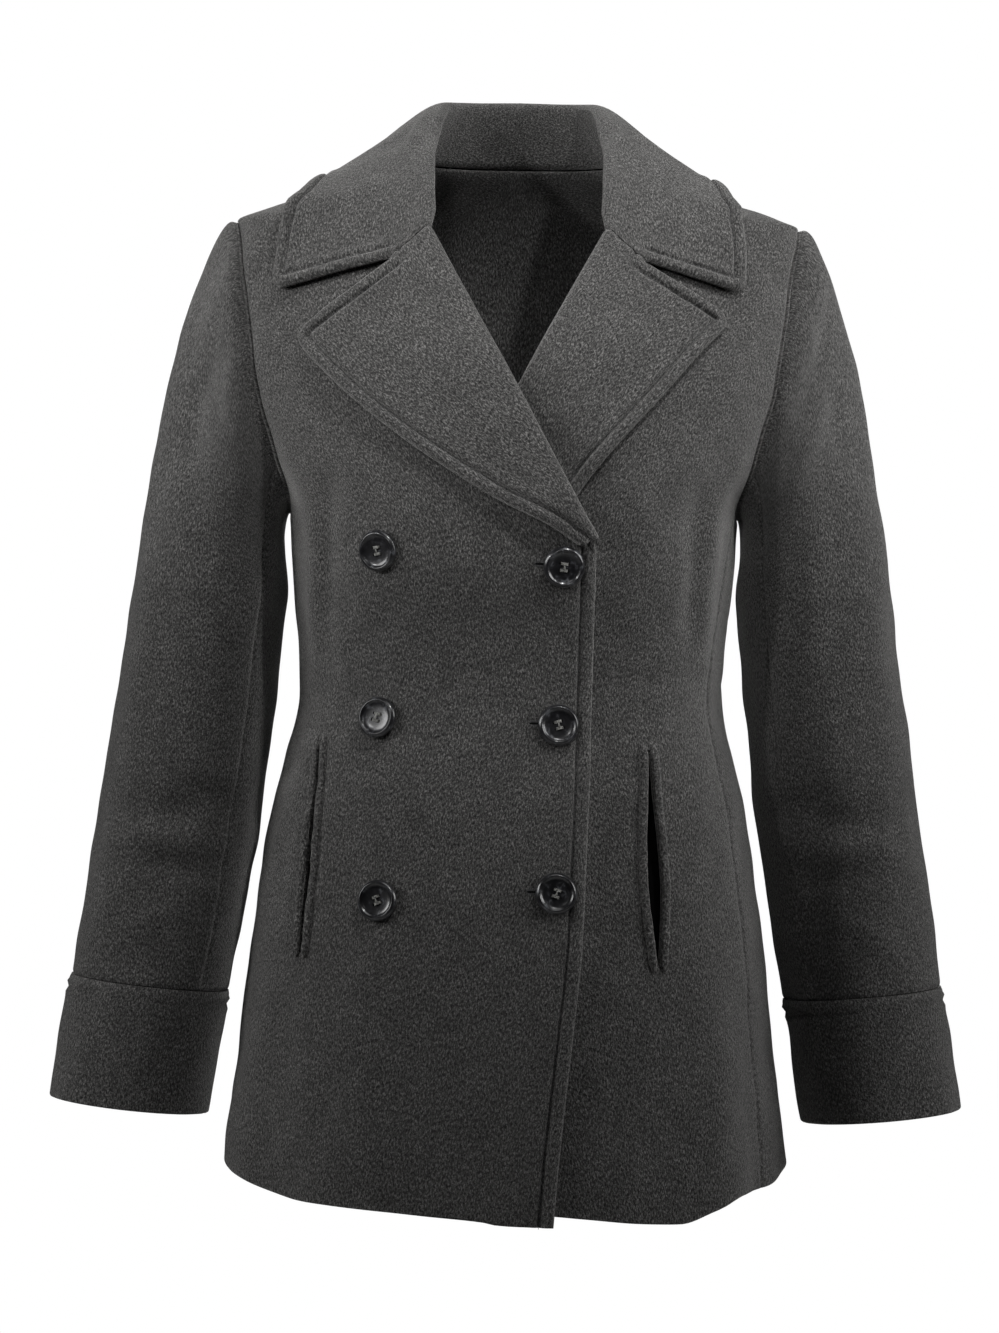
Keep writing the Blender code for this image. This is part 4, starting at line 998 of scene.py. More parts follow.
def sleeveNets(side):
    turn, split = sleeveTurns()
    inside, start, heading, head = sleeveStart(turn, side)
    end = armRing(turn, sleeve["armTop"], side)
    length = np.linalg.norm(end - start, axis=-1, keepdims=True)
    down = unit(armRing(turn, sleeve["armTop"] - 0.010, side) - end)
    t = spaced(length[:, 0] * sleeve["capCurve"], fine["seams"], (0.0,), sleeve["faces"][0])[..., None]
    start, end, length, heading, head, down = (v[:, None] for v in (start, end, length, heading, head, down))
    rise = t * (1 - t) ** 2 * mix(*sleeve["capPuff"], head) * length * heading
    fall = t * t * (t - 1) * mix(*sleeve["capDrop"], head) * length * down
    cap = (1 + 2 * t) * (1 - t) ** 2 * start + t * t * (3 - 2 * t) * end + rise + fall
    arm = spaced(sleeve["armTop"] - sleeve["cuffSeam"], (0.0, 4.0), fine["seams"], sleeve["faces"][1])
    arm = mix(sleeve["armTop"], sleeve["cuffSeam"], arm[1:])
    cuffTop = sleeve["cuffSeam"] - 2 * body["seam"]
    band = spaced(cuffTop - sleeve["cuffEdge"], fine["seams"], fine["edges"], sleeve["faces"][2])
    band = mix(cuffTop, sleeve["cuffEdge"], band)
    rings = [armRing(turn, level, side) for level in np.concatenate([arm, band])]
    points = np.concatenate([inside[None], cap.transpose(1, 0, 2), np.array(rings)])
    seam = len(points) - len(band)
    normals = netNormals(points, closed=True) * side
    away = distance(points, [points[1]])
    sewn = np.minimum(away, distance(points, [points[seam - 1]]))
    lengthwise = distance(points, [points[1:seam, 0], points[1:seam, split]])
    bare = points[..., 2] - points[seam - 1, :, 2]
    fade = ease(away, 0, sleeve["foldsFade"]) * ease(bare, 0, sleeve["foldsFade"])
    fold = bumps(sleeveFolds, turn, points[..., 2])
    for creases in (sleeveCreases, oneSleeve["left" if side > 0 else "right"]):
        fold = fold + troughs(creases, sleeve["perDegree"], turn, points[..., 2])
    fold = fold * fade + uneven(points) * ease(away, 0, sleeve["wearFades"])
    fold[0] = 0
    fold[1:seam] -= ditch(np.minimum(sewn, lengthwise))[1:seam]
    free = distance(points[seam:], [points[-1]])
    pull = rounding(free, sleeve["wall"])
    cuffSeam = distance(points[seam:], [points[seam]])
    fold[seam:] += sleeve["cuffProud"] - ditch(cuffSeam) - pull
    swell = stitched(cuffSeam, fine["cuffInset"]) * ease(cuffSeam, *sleeve["cuffSwells"])
    fold[seam:] += sleeve["cuffSwell"] * swell
    outer = points + normals * fold[..., None]
    thick = np.full(fold.shape, sleeve["wall"])
    thick[seam:] -= 2 * pull
    inner = outer - normals * thick[..., None]
    return outer, inner, seam, split


# The net's columns from one to another, going on past the last into the first.
def columnsBetween(points, first, last):
    return points[:, np.arange(first, last + 1) % points.shape[1]]


def makeSleeve(side, word, finish):
    outer, inner, seam, split = sleeveNets(side)
    made = {}
    turns = outer.shape[1]
    for stem, first, last in (("upper_sleeve_", 0, split), ("under_sleeve_", split, turns)):
        nets = [drawnIn(columnsBetween(net[:seam], first, last), ("hem",)) for net in (outer, inner)]
        made[stem] = clothPiece(stem + word, [nets], finish)
    nets = [columnsBetween(net[seam:], 0, turns) for net in (outer, inner)]
    made["cuff_"] = clothPiece("cuff_" + word, [nets], finish)
    return made


# ---- lapels and collar ----

# Rows of a turned piece, each from its foot round the fold and out to its edge.
# Start, end and sag are x and level on the front; share is how far along the fall each column is.
def turnedRows(side, start, end, share, sag, stand):
    way = unit(end - start)
    covered = 0.0 if side < 0 else 1 - ease(start[:, 0] - rollX(start[:, 1]), 0.0, turnOver["covered"])
    rise = turnOver["rise"] * (1 - turnOver["pressed"] * covered) + np.zeros(len(start))
    leg = -turnOver["set"] - collar["wall"] / 2
    steps = np.linspace(0, pi / 2, fine["fold"] + 1)
    across = np.concatenate([np.full(stand + 1, leg), leg + turnOver["radius"] * (1 - np.cos(steps))])
    low = np.linspace(0, 1, stand + 2)[:-1]
    low = mix(-turnOver["sunk"], rise[:, None], low)
    height = np.concatenate([low, rise[:, None] + turnOver["radius"] * np.sin(steps)], 1)
    places = start[:, None] + way[:, None] * across[None, :, None]
    bend = np.interp(share, (0, lapel["notchPart"], 1), (0, 1, 0))
    fall = mix(places[:, -1:], end[:, None], share[..., None]) + sag[:, None] * bend[..., None]
    flare = turnOver["flare"] * ease(np.abs(end[:, 0] - rollX(end[:, 1])), *turnOver["flareStarts"])
    gap = turnOver["gap"] + collar["wall"] / 2 + flare[:, None]
    height = np.concatenate([height, mix(height[:, -1:], gap, ease(share, *turnOver["settles"]))], 1)
    x, level = np.moveaxis(np.concatenate([places, fall], 1), -1, 0)
    return torso(angleAt(x, level), level, frontOut(side, x, level) + height)


def fallShares(start, end):
    length = np.linalg.norm(end - start, axis=-1) * 1.02
    share = spaced(length, (0.0,), fine["edges"], fine["fall"])[:, 1:]
    nearest = np.abs(share - lapel["notchPart"]).argmin(1)
    share[-1, nearest[-1]] = lapel["notchPart"]
    return share


# End row of the lapel or of the collar, moved up the neck by a small shift.
def gorgeRow(side, tip, shift, stand):
    start = np.array([[side * body["neckFrontX"], body["neckFront"]]])
    notch = np.array([[side * lapel["notchX"], lapel["notchLevel"]]])
    sag = notch - mix(start, tip, lapel["notchPart"])
    aside = unit(notch - start)
    up = np.stack([-aside[:, 1], aside[:, 0]], -1) * side
    start, end = start + up * shift, tip[None] + up * shift
    return turnedRows(side, start, end, fallShares(start, end), sag, stand)[0]


# Normals along the gorge seam, the same ones for the lapel and the collar.
def gorgeNormals(side, tip, stand):
    along = gorgeRow(side, tip, 0.001, stand) - gorgeRow(side, tip, -0.001, stand)
    rows = np.array([gorgeRow(side, tip, 0.0, stand) + along * share for share in (-1, 0, 1)])
    return netNormals(rows)[1] * side


# The column of a turned net that runs out to the notch.
def notchColumn(points, share):
    return points.shape[1] - len(share) + np.abs(share - lapel["notchPart"]).argmin()


# Moves the points near a turned piece's square tip in, so that it is round.
def roundTip(points, notch):
    radius, tip, back = fine["tipRadius"], points[-1, -1], fine["tipBack"]
    p = np.clip((radius - distance(points, [points[:, -1]])) / radius, 0, 1)
    q = np.clip((radius - distance(points, [points[-1, notch:]])) / radius, 0, 1)
    scale = np.maximum(p, q) / np.maximum(np.hypot(p, q), 1e-9)
    near = ((p > 0) & (q > 0)) * (1 - scale) * radius
    aside = (near * p)[..., None] * unit(points[-1, -back] - tip)
    return points + aside + (near * q)[..., None] * unit(points[-back, -1] - tip)


def sheetWall(middle, normals, rim, sewn, inset):
    pull = rounding(rim, collar["wall"])
    shape = stitched(rim, inset) * ease(rim, 0, 0.002) - ditch(sewn)
    outer = middle + normals * (collar["wall"] / 2 - pull + shape)[..., None]
    return outer, middle - normals * (collar["wall"] / 2 - pull)[..., None]


def makeLapel(side, word, finish):
    edges = lapelEdges[word]
    part = spaced(lapel["length"], (0.0, 1.0), fine["edges"], lapel["rows"])
    edge = np.stack([read(edges, "x", part), read(edges, "level", part)], -1)
    level = mix(lapel["foot"][word], body["neckFront"], part)
    x = rollX(level) if side < 0 else underEdgeX(level)
    start = np.stack([x, level], -1)
    tip = edge[-1]
    sag = np.array([side * lapel["notchX"], lapel["notchLevel"]]) - mix(start[-1], tip, lapel["notchPart"])
    sag = sag * part[:, None] ** lapel["sagPower"]
    middle = turnedRows(side, start, edge, fallShares(start, edge), sag, 1)
    normals = netNormals(middle) * side
    normals[-1] = gorgeNormals(side, tip, 1)
    notch = notchColumn(middle, fallShares(start, edge)[-1])
    seam = middle[-1, :notch + 1]
    middle = roundTip(middle, notch)
    rim = distance(middle, [middle[:, -1], middle[-1, notch:]])
    nets = sheetWall(middle, normals, rim, distance(middle, [seam]), fine["lapelInset"])
    return clothPiece("lapel_" + word, [nets], finish), nets, rim


# The body's outer face round the neck and shoulders, to measure from.
def bodyTree():
    angle = np.arange(0, 361, 3)
    level = np.concatenate([np.linspace(-0.220, -0.060, 30), np.linspace(-0.055, 0.012, 40)])
    points = torso(angle[None, :], level[:, None])
    ids = np.arange(points[..., 0].size).reshape(points.shape[:2])
    return BVHTree.FromPolygons(points.reshape(-1, 3).tolist(), quadsOf(ids).tolist())


# The point, moved straight out where it is nearer the body than the gap.
def clearOf(tree, point, gap):
    hit, normal, _, _ = tree.find_nearest(Vector(point))
    height = (Vector(point) - hit).dot(normal)
    return point + np.array(normal) * max(0.0, gap - height)


def bezier(a, b, c, d, t):
    return (1 - t) ** 3 * a + 3 * t * (1 - t) ** 2 * b + 3 * t * t * (1 - t) * c + t ** 3 * d


# Height of the middle of the collar's cloth over the body; it stands off most at the shoulder.
def collarClear(part):
    shoulder = ease(part, *collar["shoulderStarts"]) * (1 - ease(part, *collar["shoulderEnds"]))
    return turnOver["gap"] + collar["wall"] / 2 + collar["shoulderLift"] * shoulder


# Middle of the collar at one place along the neck seam: foot, stand, fold and fall.
def collarRow(side, part):
    seam = neckSeam(part)
    base = torso(side * seam[0], seam[1])
    normal = torsoNormal(side * seam[0], seam[1])
    ends = [neckSeam(np.clip(part + d, 0, 1)) for d in (0.01, -0.01)]
    tangent = torso(side * ends[0][0], ends[0][1]) - torso(side * ends[1][0], ends[1][1])
    into = -side * unit(np.cross(normal, tangent))
    roll = np.array([side * read(collarRoll, "x", part), read(collarRoll, "y", part),
                     read(collarRoll, "z", part)])
    turned = float(np.clip(np.dot(unit(roll - base), normal), 0, 1))
    foot = base + into * (collar["inset"] + collar["insetTurned"] * turned) - normal * body["wall"] / 2
    word = "left" if side > 0 else "right"
    edge = (read(collarEdge, word, part), read(collarEdge, "level", part))
    low = collarClear(part) + collar["air"]
    end = torso(side * edge[0], edge[1], low + turnOver["flare"])
    before = [mix(s, e, collar["fallBefore"]) for s, e in zip(seam, edge)]
    before = torso(side * before[0], before[1], low + turnOver["flare"] / 2)
    frontUp = torsoNormal(side * neckSeam(1.0)[0], body["neckFront"])
    up = unit(mix(np.array([0, 0, 1.0]), frontUp, ease(part, 0.55, 1)))
    away = unit((end - roll) - np.dot(end - roll, up) * up)
    rise = (roll - foot) - np.dot(roll - foot, away) * away
    radius = min(collar["foldRadius"], 0.6 * np.linalg.norm(rise))
    turns = np.radians(np.linspace(collar["foldStart"], 0, fine["fold"]))[:, None]
    fold = roll + radius * (np.sin(turns) * away + (np.cos(turns) - 1) * unit(rise))
    stand = mix(foot, fold[0], np.linspace(0, 1, fine["stand"] + 3)[:-1, None])
    leave = roll + away * collar["fallLeaves"]
    arrive = end - unit(end - before) * collar["fallArrives"]
    curve = bezier(roll, leave, arrive, end, np.linspace(0, 1, 61)[:, None])
    along = alongOf(curve)
    places = spaced(along[-1], (0.0,), fine["edges"], fine["fall"])[1:] * along[-1]
    return np.concatenate([stand, fold, pointsAt(curve, along, places)])


def makeCollar(finish):
    tree = bodyTree()
    part = spaced(collar["length"], (0.0,), fine["edges"], collar["rows"])
    halves, ends, rims = {}, {}, {}
    for side, word in ((1, "left"), (-1, "right")):
        tip = np.array(collar["tips"][word])
        last = gorgeRow(side, tip, lapel["gorgeShift"], fine["stand"])
        rows = np.array([collarRow(side, p) for p in part])
        rows = rows + part[:, None, None] ** collar["gorgePower"] * (last - rows[-1])
        for row, placeOnSeam in zip(rows[:-1], part):
            for column in range(fine["stand"] + fine["fold"] + 2, len(row)):
                row[column] = clearOf(tree, row[column], collarClear(placeOnSeam))
        first = fine["stand"] + fine["fold"]
        last = first + collar["evenColumns"]
        for _ in range(collar["evenTimes"]):
            beside = rows[:-2, first:last] + rows[2:, first:last]
            beside = beside + rows[1:-1, first - 1:last - 1] + rows[1:-1, first + 1:last + 1]
            rows[1:-1, first:last] = mix(rows[1:-1, first:last], beside / 4, collar["evenShare"])
        share = fallShares(np.array([[side * body["neckFrontX"], body["neckFront"]]]), tip[None])[0]
        notch = notchColumn(rows, share)
        rows = roundTip(rows, notch)
        halves[word] = rows
        rims[word] = [rows[:, -1], rows[-1, notch:]]
        ends[word] = rows[-1, :notch + 1]
    middle = np.concatenate([halves["left"][::-1], halves["right"][1:]])
    normals = netNormals(middle)
    for row, side, word in ((0, 1, "left"), (-1, -1, "right")):
        seam = gorgeNormals(side, np.array(collar["tips"][word]), fine["stand"])
        normals[row] = seam * np.sign(np.sum(seam * normals[row], axis=-1, keepdims=True))
    rim = distance(middle, rims["left"] + rims["right"])
    sewn = distance(middle, [ends["left"], ends["right"], middle[:, 0]])
    nets = sheetWall(middle, normals, rim, sewn, fine["collarInset"])
    return clothPiece("collar", [nets], finish), nets, rim


# ---- pockets ----

def alongPocket(side, share):
    top, foot = (np.array(end) for end in pocket["ends"]["left" if side > 0 else "right"])
    places = mix(top, foot, share[:, None])
    return angleAt(places[:, 0], places[:, 1]), places[:, 1]


# Points beside the slit, at distances across it measured on the body, towards the side seam.
def pocketNet(side, share, across, out):
    angle, level = alongPocket(side, share)
    speed = np.linalg.norm(plainTorso(angle + 1, level) - plainTorso(angle - 1, level), axis=-1) / 2
    angle = angle[:, None] + side * across / speed[:, None]
    level = level[:, None]
    x = plainTorso(angle, level)[..., 0]
    return torso(angle, level, frontOut(side, x, level) + out)


# Half the width that the slit hangs open, at each place along it.
def opening(word, share):
    inside = np.sin(pi * np.clip(share, 0, 1) ** pocket["gapeLow"])
    return pocket["lips"] + pocket["gape"][word] * inside ** pocket["gapePower"]


# A closed skin over rings of points, with its ends filled.
def tubeMesh(name, rings, finish):
    count, around = rings.shape[:2]
    ids = np.arange(count * around).reshape(count, around)
    turned = np.roll(ids, -1, 1)
    quads = np.stack([ids[:-1], turned[:-1], turned[1:], ids[1:]], -1).reshape(-1, 4)
    middles = np.array([rings[0].mean(0), rings[-1].mean(0)])
    faces = quads.tolist()
    faces += [(b, a, count * around) for a, b in zip(ids[0], turned[0])]
    faces += [(a, b, count * around + 1) for a, b in zip(ids[-1], turned[-1])]
    mesh = bpy.data.meshes.new(name)
    mesh.from_pydata(np.concatenate([rings.reshape(-1, 3), middles]).tolist(), [], faces)
    layer = mesh.uv_layers.new(name="cloth")
    reach = alongOf(rings.mean(1))
    for loop in mesh.loops:
        row, column = divmod(min(loop.vertex_index, count * around - 1), around)
        layer.data[loop.index].uv = (column * pocket["weltWidth"] * 2 / around, reach[row])
    facesOut(mesh)
    mesh.shade_smooth()
    mesh.materials.append(finish)
    return placed(name, mesh)


def makePocket(side, word, front, wool, dark):
    slitSteps, weltSteps, bagSteps, bagAcross = pocket["steps"]
    share = np.linspace(-pocket["slitPast"], 1 + pocket["slitPast"], slitSteps)
    half = opening(word, share)[:, None]
    sides = np.concatenate([-half, half], 1)
    layers = [pocketNet(side, share, sides, out) for out in pocket["slitDeep"]]
    mesh = cutAway(front, clothPiece("slit_" + word, [layers], wool), crossing=True)
    old, front.data = front.data, mesh
    mesh.name = front.name
    bpy.data.meshes.remove(old)
    made = {}
    turns = turnsOf(24)
    past = pocket["weltPast"]
    share = np.linspace(-past, 1 + past, weltSteps)
    half = opening(word, share)[:, None]
    fade = ease(share, -past, 0.02) * ease(-share, -1 - past, -0.98)
    plump = (0.5 + 0.5 * fade)[:, None]
    for name, sign in (("welt_front_", -1), ("welt_back_", 1)):
        wide, tall = pocket["weltWidth"] / 2 * plump, pocket["weltTall"] * plump
        bulge = np.sign(np.sin(turns)) * np.abs(np.sin(turns)) ** 0.8
        across = sign * (half + pocket["weltWidth"] / 2 - wide * np.cos(turns))
        ripple = uneven(np.stack([share * 0.4, share * 0, share * 0 + sign], -1))[:, None] * 0.5
        rings = np.concatenate([
            pocketNet(side, share, across[:, i:i + 1], pocket["weltSits"] + tall * bulge[i] + ripple)
            for i in range(len(turns))
        ], 1)
        made[name + word] = tubeMesh(name + word + "_cloth", rings, wool)
    share = np.linspace(-pocket["bagPast"], 1 + pocket["bagPast"], bagSteps)
    across = np.linspace(pocket["bagBehind"], -pocket["bagForward"], bagAcross) + 0 * share[:, None]
    inside = np.clip(np.sin(pi * np.clip(share, 0, 1)), 0, 1)[:, None] ** 0.5
    sag = pocket["bagSag"] * np.exp(-(across / pocket["bagSagWidth"]) ** 2) * inside
    top = -body["wall"] - pocket["bagGap"] - sag
    bag = [pocketNet(side, share, across, out) for out in (top, top - pocket["bagWall"])]
    # the bag's near-black pocketing is partly painted shade for the open slit above it
    made["pocket_bag_" + word] = clothPiece("pocket_bag_" + word, [bag], dark)
    return made


# ---- buttons ----

# One button, face up, with its four holes.
def buttonShape(finish):
    around = turnsOf(button["around"])
    profile = np.array(button["profile"])
    profile = pointsAt(profile, np.linspace(0, 1, len(profile)), np.linspace(0, 1, button["rings"]))
    for _ in range(2):      # rounds its corners
        profile[1:-1] = (profile[:-2] + 2 * profile[1:-1] + profile[2:]) / 4
    r, z = profile.T
    rings = np.stack([
        r[:, None] * np.cos(around), r[:, None] * np.sin(around), z[:, None] + 0 * around,
    ], -1)
    made = tubeMesh("buttonShape", rings, finish)
    shape = bmesh.new()
    for i in range(4):
        a, offset = radians(45 + 90 * i), button["holeOffset"]
        spot = Matrix.Translation((offset * cos(a), offset * sin(a), button["faceLevel"]))
        bmesh.ops.create_cone(
            shape, cap_ends=True, segments=24, radius1=button["holeRadius"],
            radius2=button["holeRadius"] * button["holeFlare"], depth=button["drill"], matrix=spot,
        )
    holes = bpy.data.meshes.new("holes")
    shape.to_mesh(holes)
    shape.free()
    mesh = cutAway(made, placed("holes", holes))
    bpy.data.objects.remove(made)
    mesh.shade_smooth()
    mesh.set_sharp_from_angle(angle=radians(button["sharp"]))
    return mesh


# Strands between the holes: two lanes side by side, and one lane across them. Each lane has its
# side, its number of strands, how far they lie to each side of its middle, and how far they rise.
def threadRings(offset, level):
    made = []
    turn = turnsOf(8)
    ring = np.stack([0 * turn, np.cos(turn), np.sin(turn)], -1) * button["strand"]
    t = np.linspace(0, 1, 15)[:, None]
    end = offset + button["strandEnds"]
    for lane, count, spread, rise in button["lanes"]:
        for strand in np.linspace(-1, 1, count):
            aside = lane * offset + strand * spread
            a, b = np.array([-end, aside, 0]), np.array([end, aside * (1.0 if lane else -0.6), 0])
            height = level - button["strandSunk"] + rise * np.sin(pi * t) ** 0.4
            rings = (mix(a, b, t) + np.array([0, 0, 1.0]) * height)[:, None] + ring[None]
            made.append(rings if lane else rings[..., [1, 0, 2]][:, ::-1])
    return made


def makeButtons(front, horn, thread):
    shape = buttonShape(horn)
    cloth = BVHTree.FromObject(front, bpy.context.evaluated_depsgraph_get())
    made = []
    for spin, (name, (x, level)) in zip(button["spins"], button["places"].items()):
        angle = angleAt(x, level)
        point = Vector(torso(angle, level))
        normal = Vector(torsoNormal(angle, level))
        seat = Matrix.Translation(point) @ normal.to_track_quat("Z", "Y").to_matrix().to_4x4()
        heights = []
        for i in range(24):
            a = 2 * pi * i / 24
            around = Vector((button["foot"] * cos(a), button["foot"] * sin(a), 0.02))
            heights.append((cloth.ray_cast(seat @ around, -normal)[0] - point).dot(normal))
        turned = seat @ Matrix.Rotation(radians(spin), 4, "Z")
        matrix = Matrix.Translation(normal * (max(heights) + button["gap"])) @ turned
        mesh = shape.copy()
        mesh.name = "button_" + name + "_horn"
        mesh.transform(matrix)
        piece = placed(mesh.name, mesh)
        lines = threadRings(button["holeOffset"] * button["laneOffset"], button["faceLevel"])
        sewing = joined("thread_" + name, [tubeMesh("strand", rings, thread) for rings in lines])
        sewing.data.transform(matrix)
        made.append(("button_" + name, piece, sewing))
    return made


def joined(name, parts):
    bpy.ops.object.select_all(action="DESELECT")
    for part in parts:
        part.select_set(True)
    bpy.context.view_layer.objects.active = parts[0]
    bpy.ops.object.join()
    parts[0].name = name
    parts[0].data.name = name
    return parts[0]


# ---- stitches ----

stitches = {
    "pitch": 0.0036,
    "length": 0.0027,
    "thickness": 0.00042,
    "holeLength": 0.0245,   # of a buttonhole, and how far its end shows beyond the button
    "holeShows": 0.0052,
    "holeHalf": 0.0016,
    "holeRaised": 0.0012,   # how far it lies above the button's middle
    # half width and height of the near-black tube of painted shade in each buttonhole
    "shadeTubeHalf": 0.0007,
    "shadeTubeTall": 0.00025,
    "holePitch": 0.00085,
    "holeStitch": 0.0021,
    "holeThickness": 0.00040,
    "holeSides": 36,        # steps along each side of a buttonhole
    "above": 0.0001,        # how far a line of stitching lies off the cloth
    "dip": 0.9,
    "varies": (0.82, 1.12),
    "longestStep": 0.012,
}


# Short rounded threads, evenly spaced on a line, that dip at both ends.
def stitchTree():
    tree = bpy.data.node_groups.new("stitches", "GeometryNodeTree")
    sockets = {"Line": "Geometry", "Pitch": "Float", "Length": "Float", "Thickness": "Float",
               "Turn": "Float", "Finish": "Material"}
    for name, kind in sockets.items():
        tree.interface.new_socket(name=name, in_out="INPUT", socket_type="NodeSocket" + kind)
    tree.interface.new_socket(name="Threads", in_out="OUTPUT", socket_type="NodeSocketGeometry")
    given = tree.nodes.new("NodeGroupInput").outputs
    curve = node(tree, "GeometryNodeMeshToCurve", {"Mesh": given["Line"]})
    even = {"Curve": curve.outputs["Curve"], "Length": given["Pitch"]}
    even = node(tree, "GeometryNodeResampleCurve", even, mode="LENGTH")
    place = node(tree, "GeometryNodeInputPosition").outputs["Position"]
    squared = node(tree, "ShaderNodeVectorMath", {0: place, 1: place}, operation="MULTIPLY")
    apart = node(tree, "ShaderNodeSeparateXYZ", {"Vector": squared.outputs["Vector"]})
    down = maths(tree, "MULTIPLY", apart.outputs["X"], -stitches["dip"])
    down = node(tree, "ShaderNodeCombineXYZ", {"Z": down}).outputs["Vector"]
    bead = node(tree, "GeometryNodeMeshUVSphere", Segments=6, Rings=6).outputs["Mesh"]
    bead = node(tree, "GeometryNodeSetPosition", {"Geometry": bead, "Offset": down})
    outward = node(tree, "GeometryNodeInputNamedAttribute", data_type="FLOAT_VECTOR", Name="out")
    heading = node(tree, "GeometryNodeInputTangent").outputs["Tangent"]
    axes = {"Primary Axis": outward.outputs["Attribute"], "Secondary Axis": heading}
    axes = node(tree, "FunctionNodeAxesToRotation", axes, primary_axis="Z", secondary_axis="X")
    spin = node(tree, "FunctionNodeAxisAngleToRotation", {"Angle": given["Turn"]}, Axis=(0, 0, 1))
    turned = {"Rotation": axes.outputs["Rotation"], "Rotate By": spin.outputs["Rotation"]}
    turned = node(tree, "FunctionNodeRotateRotation", turned, rotation_space="LOCAL")
    varied = node(tree, "FunctionNodeRandomValue", Seed=7)
    varied.inputs[2].default_value, varied.inputs[3].default_value = stitches["varies"]
    long = maths(tree, "MULTIPLY", given["Length"], varied.outputs[1])
    size = {"X": long, "Y": given["Thickness"], "Z": given["Thickness"]}
    size = node(tree, "ShaderNodeCombineXYZ", size).outputs["Vector"]
    half = node(tree, "ShaderNodeVectorMath", {0: size}, operation="SCALE", Scale=0.5)
    put = node(tree, "GeometryNodeInstanceOnPoints", {
        "Points": even.outputs["Curve"], "Instance": bead.outputs["Geometry"],
        "Rotation": turned.outputs["Rotation"], "Scale": half.outputs["Vector"],
    })
    real = node(tree, "GeometryNodeRealizeInstances", {"Geometry": put.outputs["Instances"]})
    finished = {"Geometry": real.outputs["Geometry"], "Material": given["Finish"]}
    finished = node(tree, "GeometryNodeSetMaterial", finished)
    node(tree, "NodeGroupOutput", {"Threads": finished.outputs["Geometry"]})
    return tree


# Stitches along lines on the cloth, each line a pair of points and ways out of the cloth.
def stitchPiece(name, tree, lines, finish, pitch, length, thickness, turn):
    mesh = bpy.data.meshes.new(name)
    points = np.concatenate([line for line, _ in lines])
    outs = np.concatenate([out for _, out in lines])
    edges, first = [], 0
    for line, _ in lines:
        edges += [(first + i, first + i + 1) for i in range(len(line) - 1)]
        first += len(line)
    mesh.from_pydata(points.tolist(), edges, [])
    outward = mesh.attributes.new("out", "FLOAT_VECTOR", "POINT")
    outward.data.foreach_set("vector", outs.astype(np.float32).ravel())
    made = placed(name, mesh)
    modifier = made.modifiers.new("stitches", "NODES")
    modifier.node_group = tree
    values = {"Pitch": pitch, "Length": length, "Thickness": thickness, "Turn": turn, "Finish": finish}
    for item in tree.interface.items_tree:
        if item.name in values:
            modifier[item.identifier] = values[item.name]
    made.data = applied(made)
    made.data.name = name
    bpy.data.meshes.remove(mesh)
    made.data.shade_smooth()
    return made


# The line on a net where the distance from its edge reaches the stitching, met first from the edge.
def stitchLine(outer, inner, apart, inset):
    found = []
    for row, way, out in zip(apart, outer, unit(outer - inner)):
        beyond = np.flatnonzero(row[::-1] >= inset)
        if len(beyond) and beyond[0]:
            j = len(row) - 1 - beyond[0]
            share = (row[j] - inset) / (row[j] - row[j + 1])
            found.append((mix(way[j], way[j + 1], share), out[j]))
    line = np.array([place for place, _ in found])
    out = np.array([out for _, out in found])
    steps = np.linalg.norm(np.diff(line, axis=0), axis=-1)
    jumps = np.flatnonzero(steps > stitches["longestStep"]) + 1
    longest = sorted(np.split(np.arange(len(line)), jumps), key=len)[-1]
    return line[longest] + out[longest] * stitches["above"], out[longest]


# Stitching along the outer edge of a turned piece, and along its end.
def edgeLines(outer, inner, rim, inset):
    across = [np.swapaxes(part, 0, 1) for part in (outer, inner, rim)]
    return [stitchLine(outer, inner, rim, inset), stitchLine(*across, inset)]


# The buttonholes, whose ends show beside their buttons: close stitches round each cut, and in it a near-black
# tube that is painted shade.
def makeButtonholes(front, tree, silk, dark):
    cloth = BVHTree.FromObject(front, bpy.context.evaluated_depsgraph_get())
    lines, shadeTubes = [], []
    sides, half = stitches["holeSides"], stitches["holeHalf"]
    around = turnsOf(8)
    turn = np.linspace(0, 2 * pi, 2 * sides + 1)
    reach = stitches["holeLength"] / 2
    across = np.sign(np.cos(turn)) * (reach - half) * np.clip(abs(np.cos(turn)) * 3, 0, 1)
    across = across + half * np.cos(turn)
    for name in ("left_top", "left_middle", "left_bottom"):
        x, level = button["places"][name]
        first = x - button["radius"] - stitches["holeShows"]
        line, out = [], []
        levels = level + stitches["holeRaised"] + half * np.sin(turn)
        for px, pz in zip(first + reach + across, levels):
            angle = angleAt(px, pz)
            point, normal = Vector(torso(angle, pz)), Vector(torsoNormal(angle, pz))
            hit = cloth.ray_cast(point + normal * 0.03, -normal)[0]
            line.append(hit + normal * stitches["above"])
            out.append(normal)
        line, out = np.array(line), np.array(out)
        lines.append((line, out))
        # a near-black tube along the middle of each buttonhole: painted shade where the cut opens
        upper, lower = line[1:sides], line[sides + 1:-1][::-1]
        middle, wide = (upper + lower) / 2, (upper - lower) / 2 * stitches["shadeTubeHalf"] / half
        rings = middle[:, None] + wide[:, None] * np.cos(around)[:, None]
        rings = rings + out[1:sides, None] * (np.sin(around)[:, None] * stitches["shadeTubeTall"])
        shadeTubes.append(tubeMesh("slit", rings, dark))
    sewing = stitchPiece(
        "buttonhole_stitches", tree, lines, silk, stitches["holePitch"], stitches["holeStitch"],
        stitches["holeThickness"], pi / 2,
    )
    return sewing, joined("buttonhole_painted_shade", shadeTubes)


# ---- surfaces ----

# A node with its settings, and with outputs linked to its inputs by their names or numbers.
def node(tree, kind, linked=None, **settings):
    made = tree.nodes.new(kind)
    for name, value in settings.items():
        if name in made.inputs.keys():
            made.inputs[name].default_value = value
        else:
            setattr(made, name, value)
    for name, output in (linked or {}).items():
        tree.links.new(output, made.inputs[name])
    return made


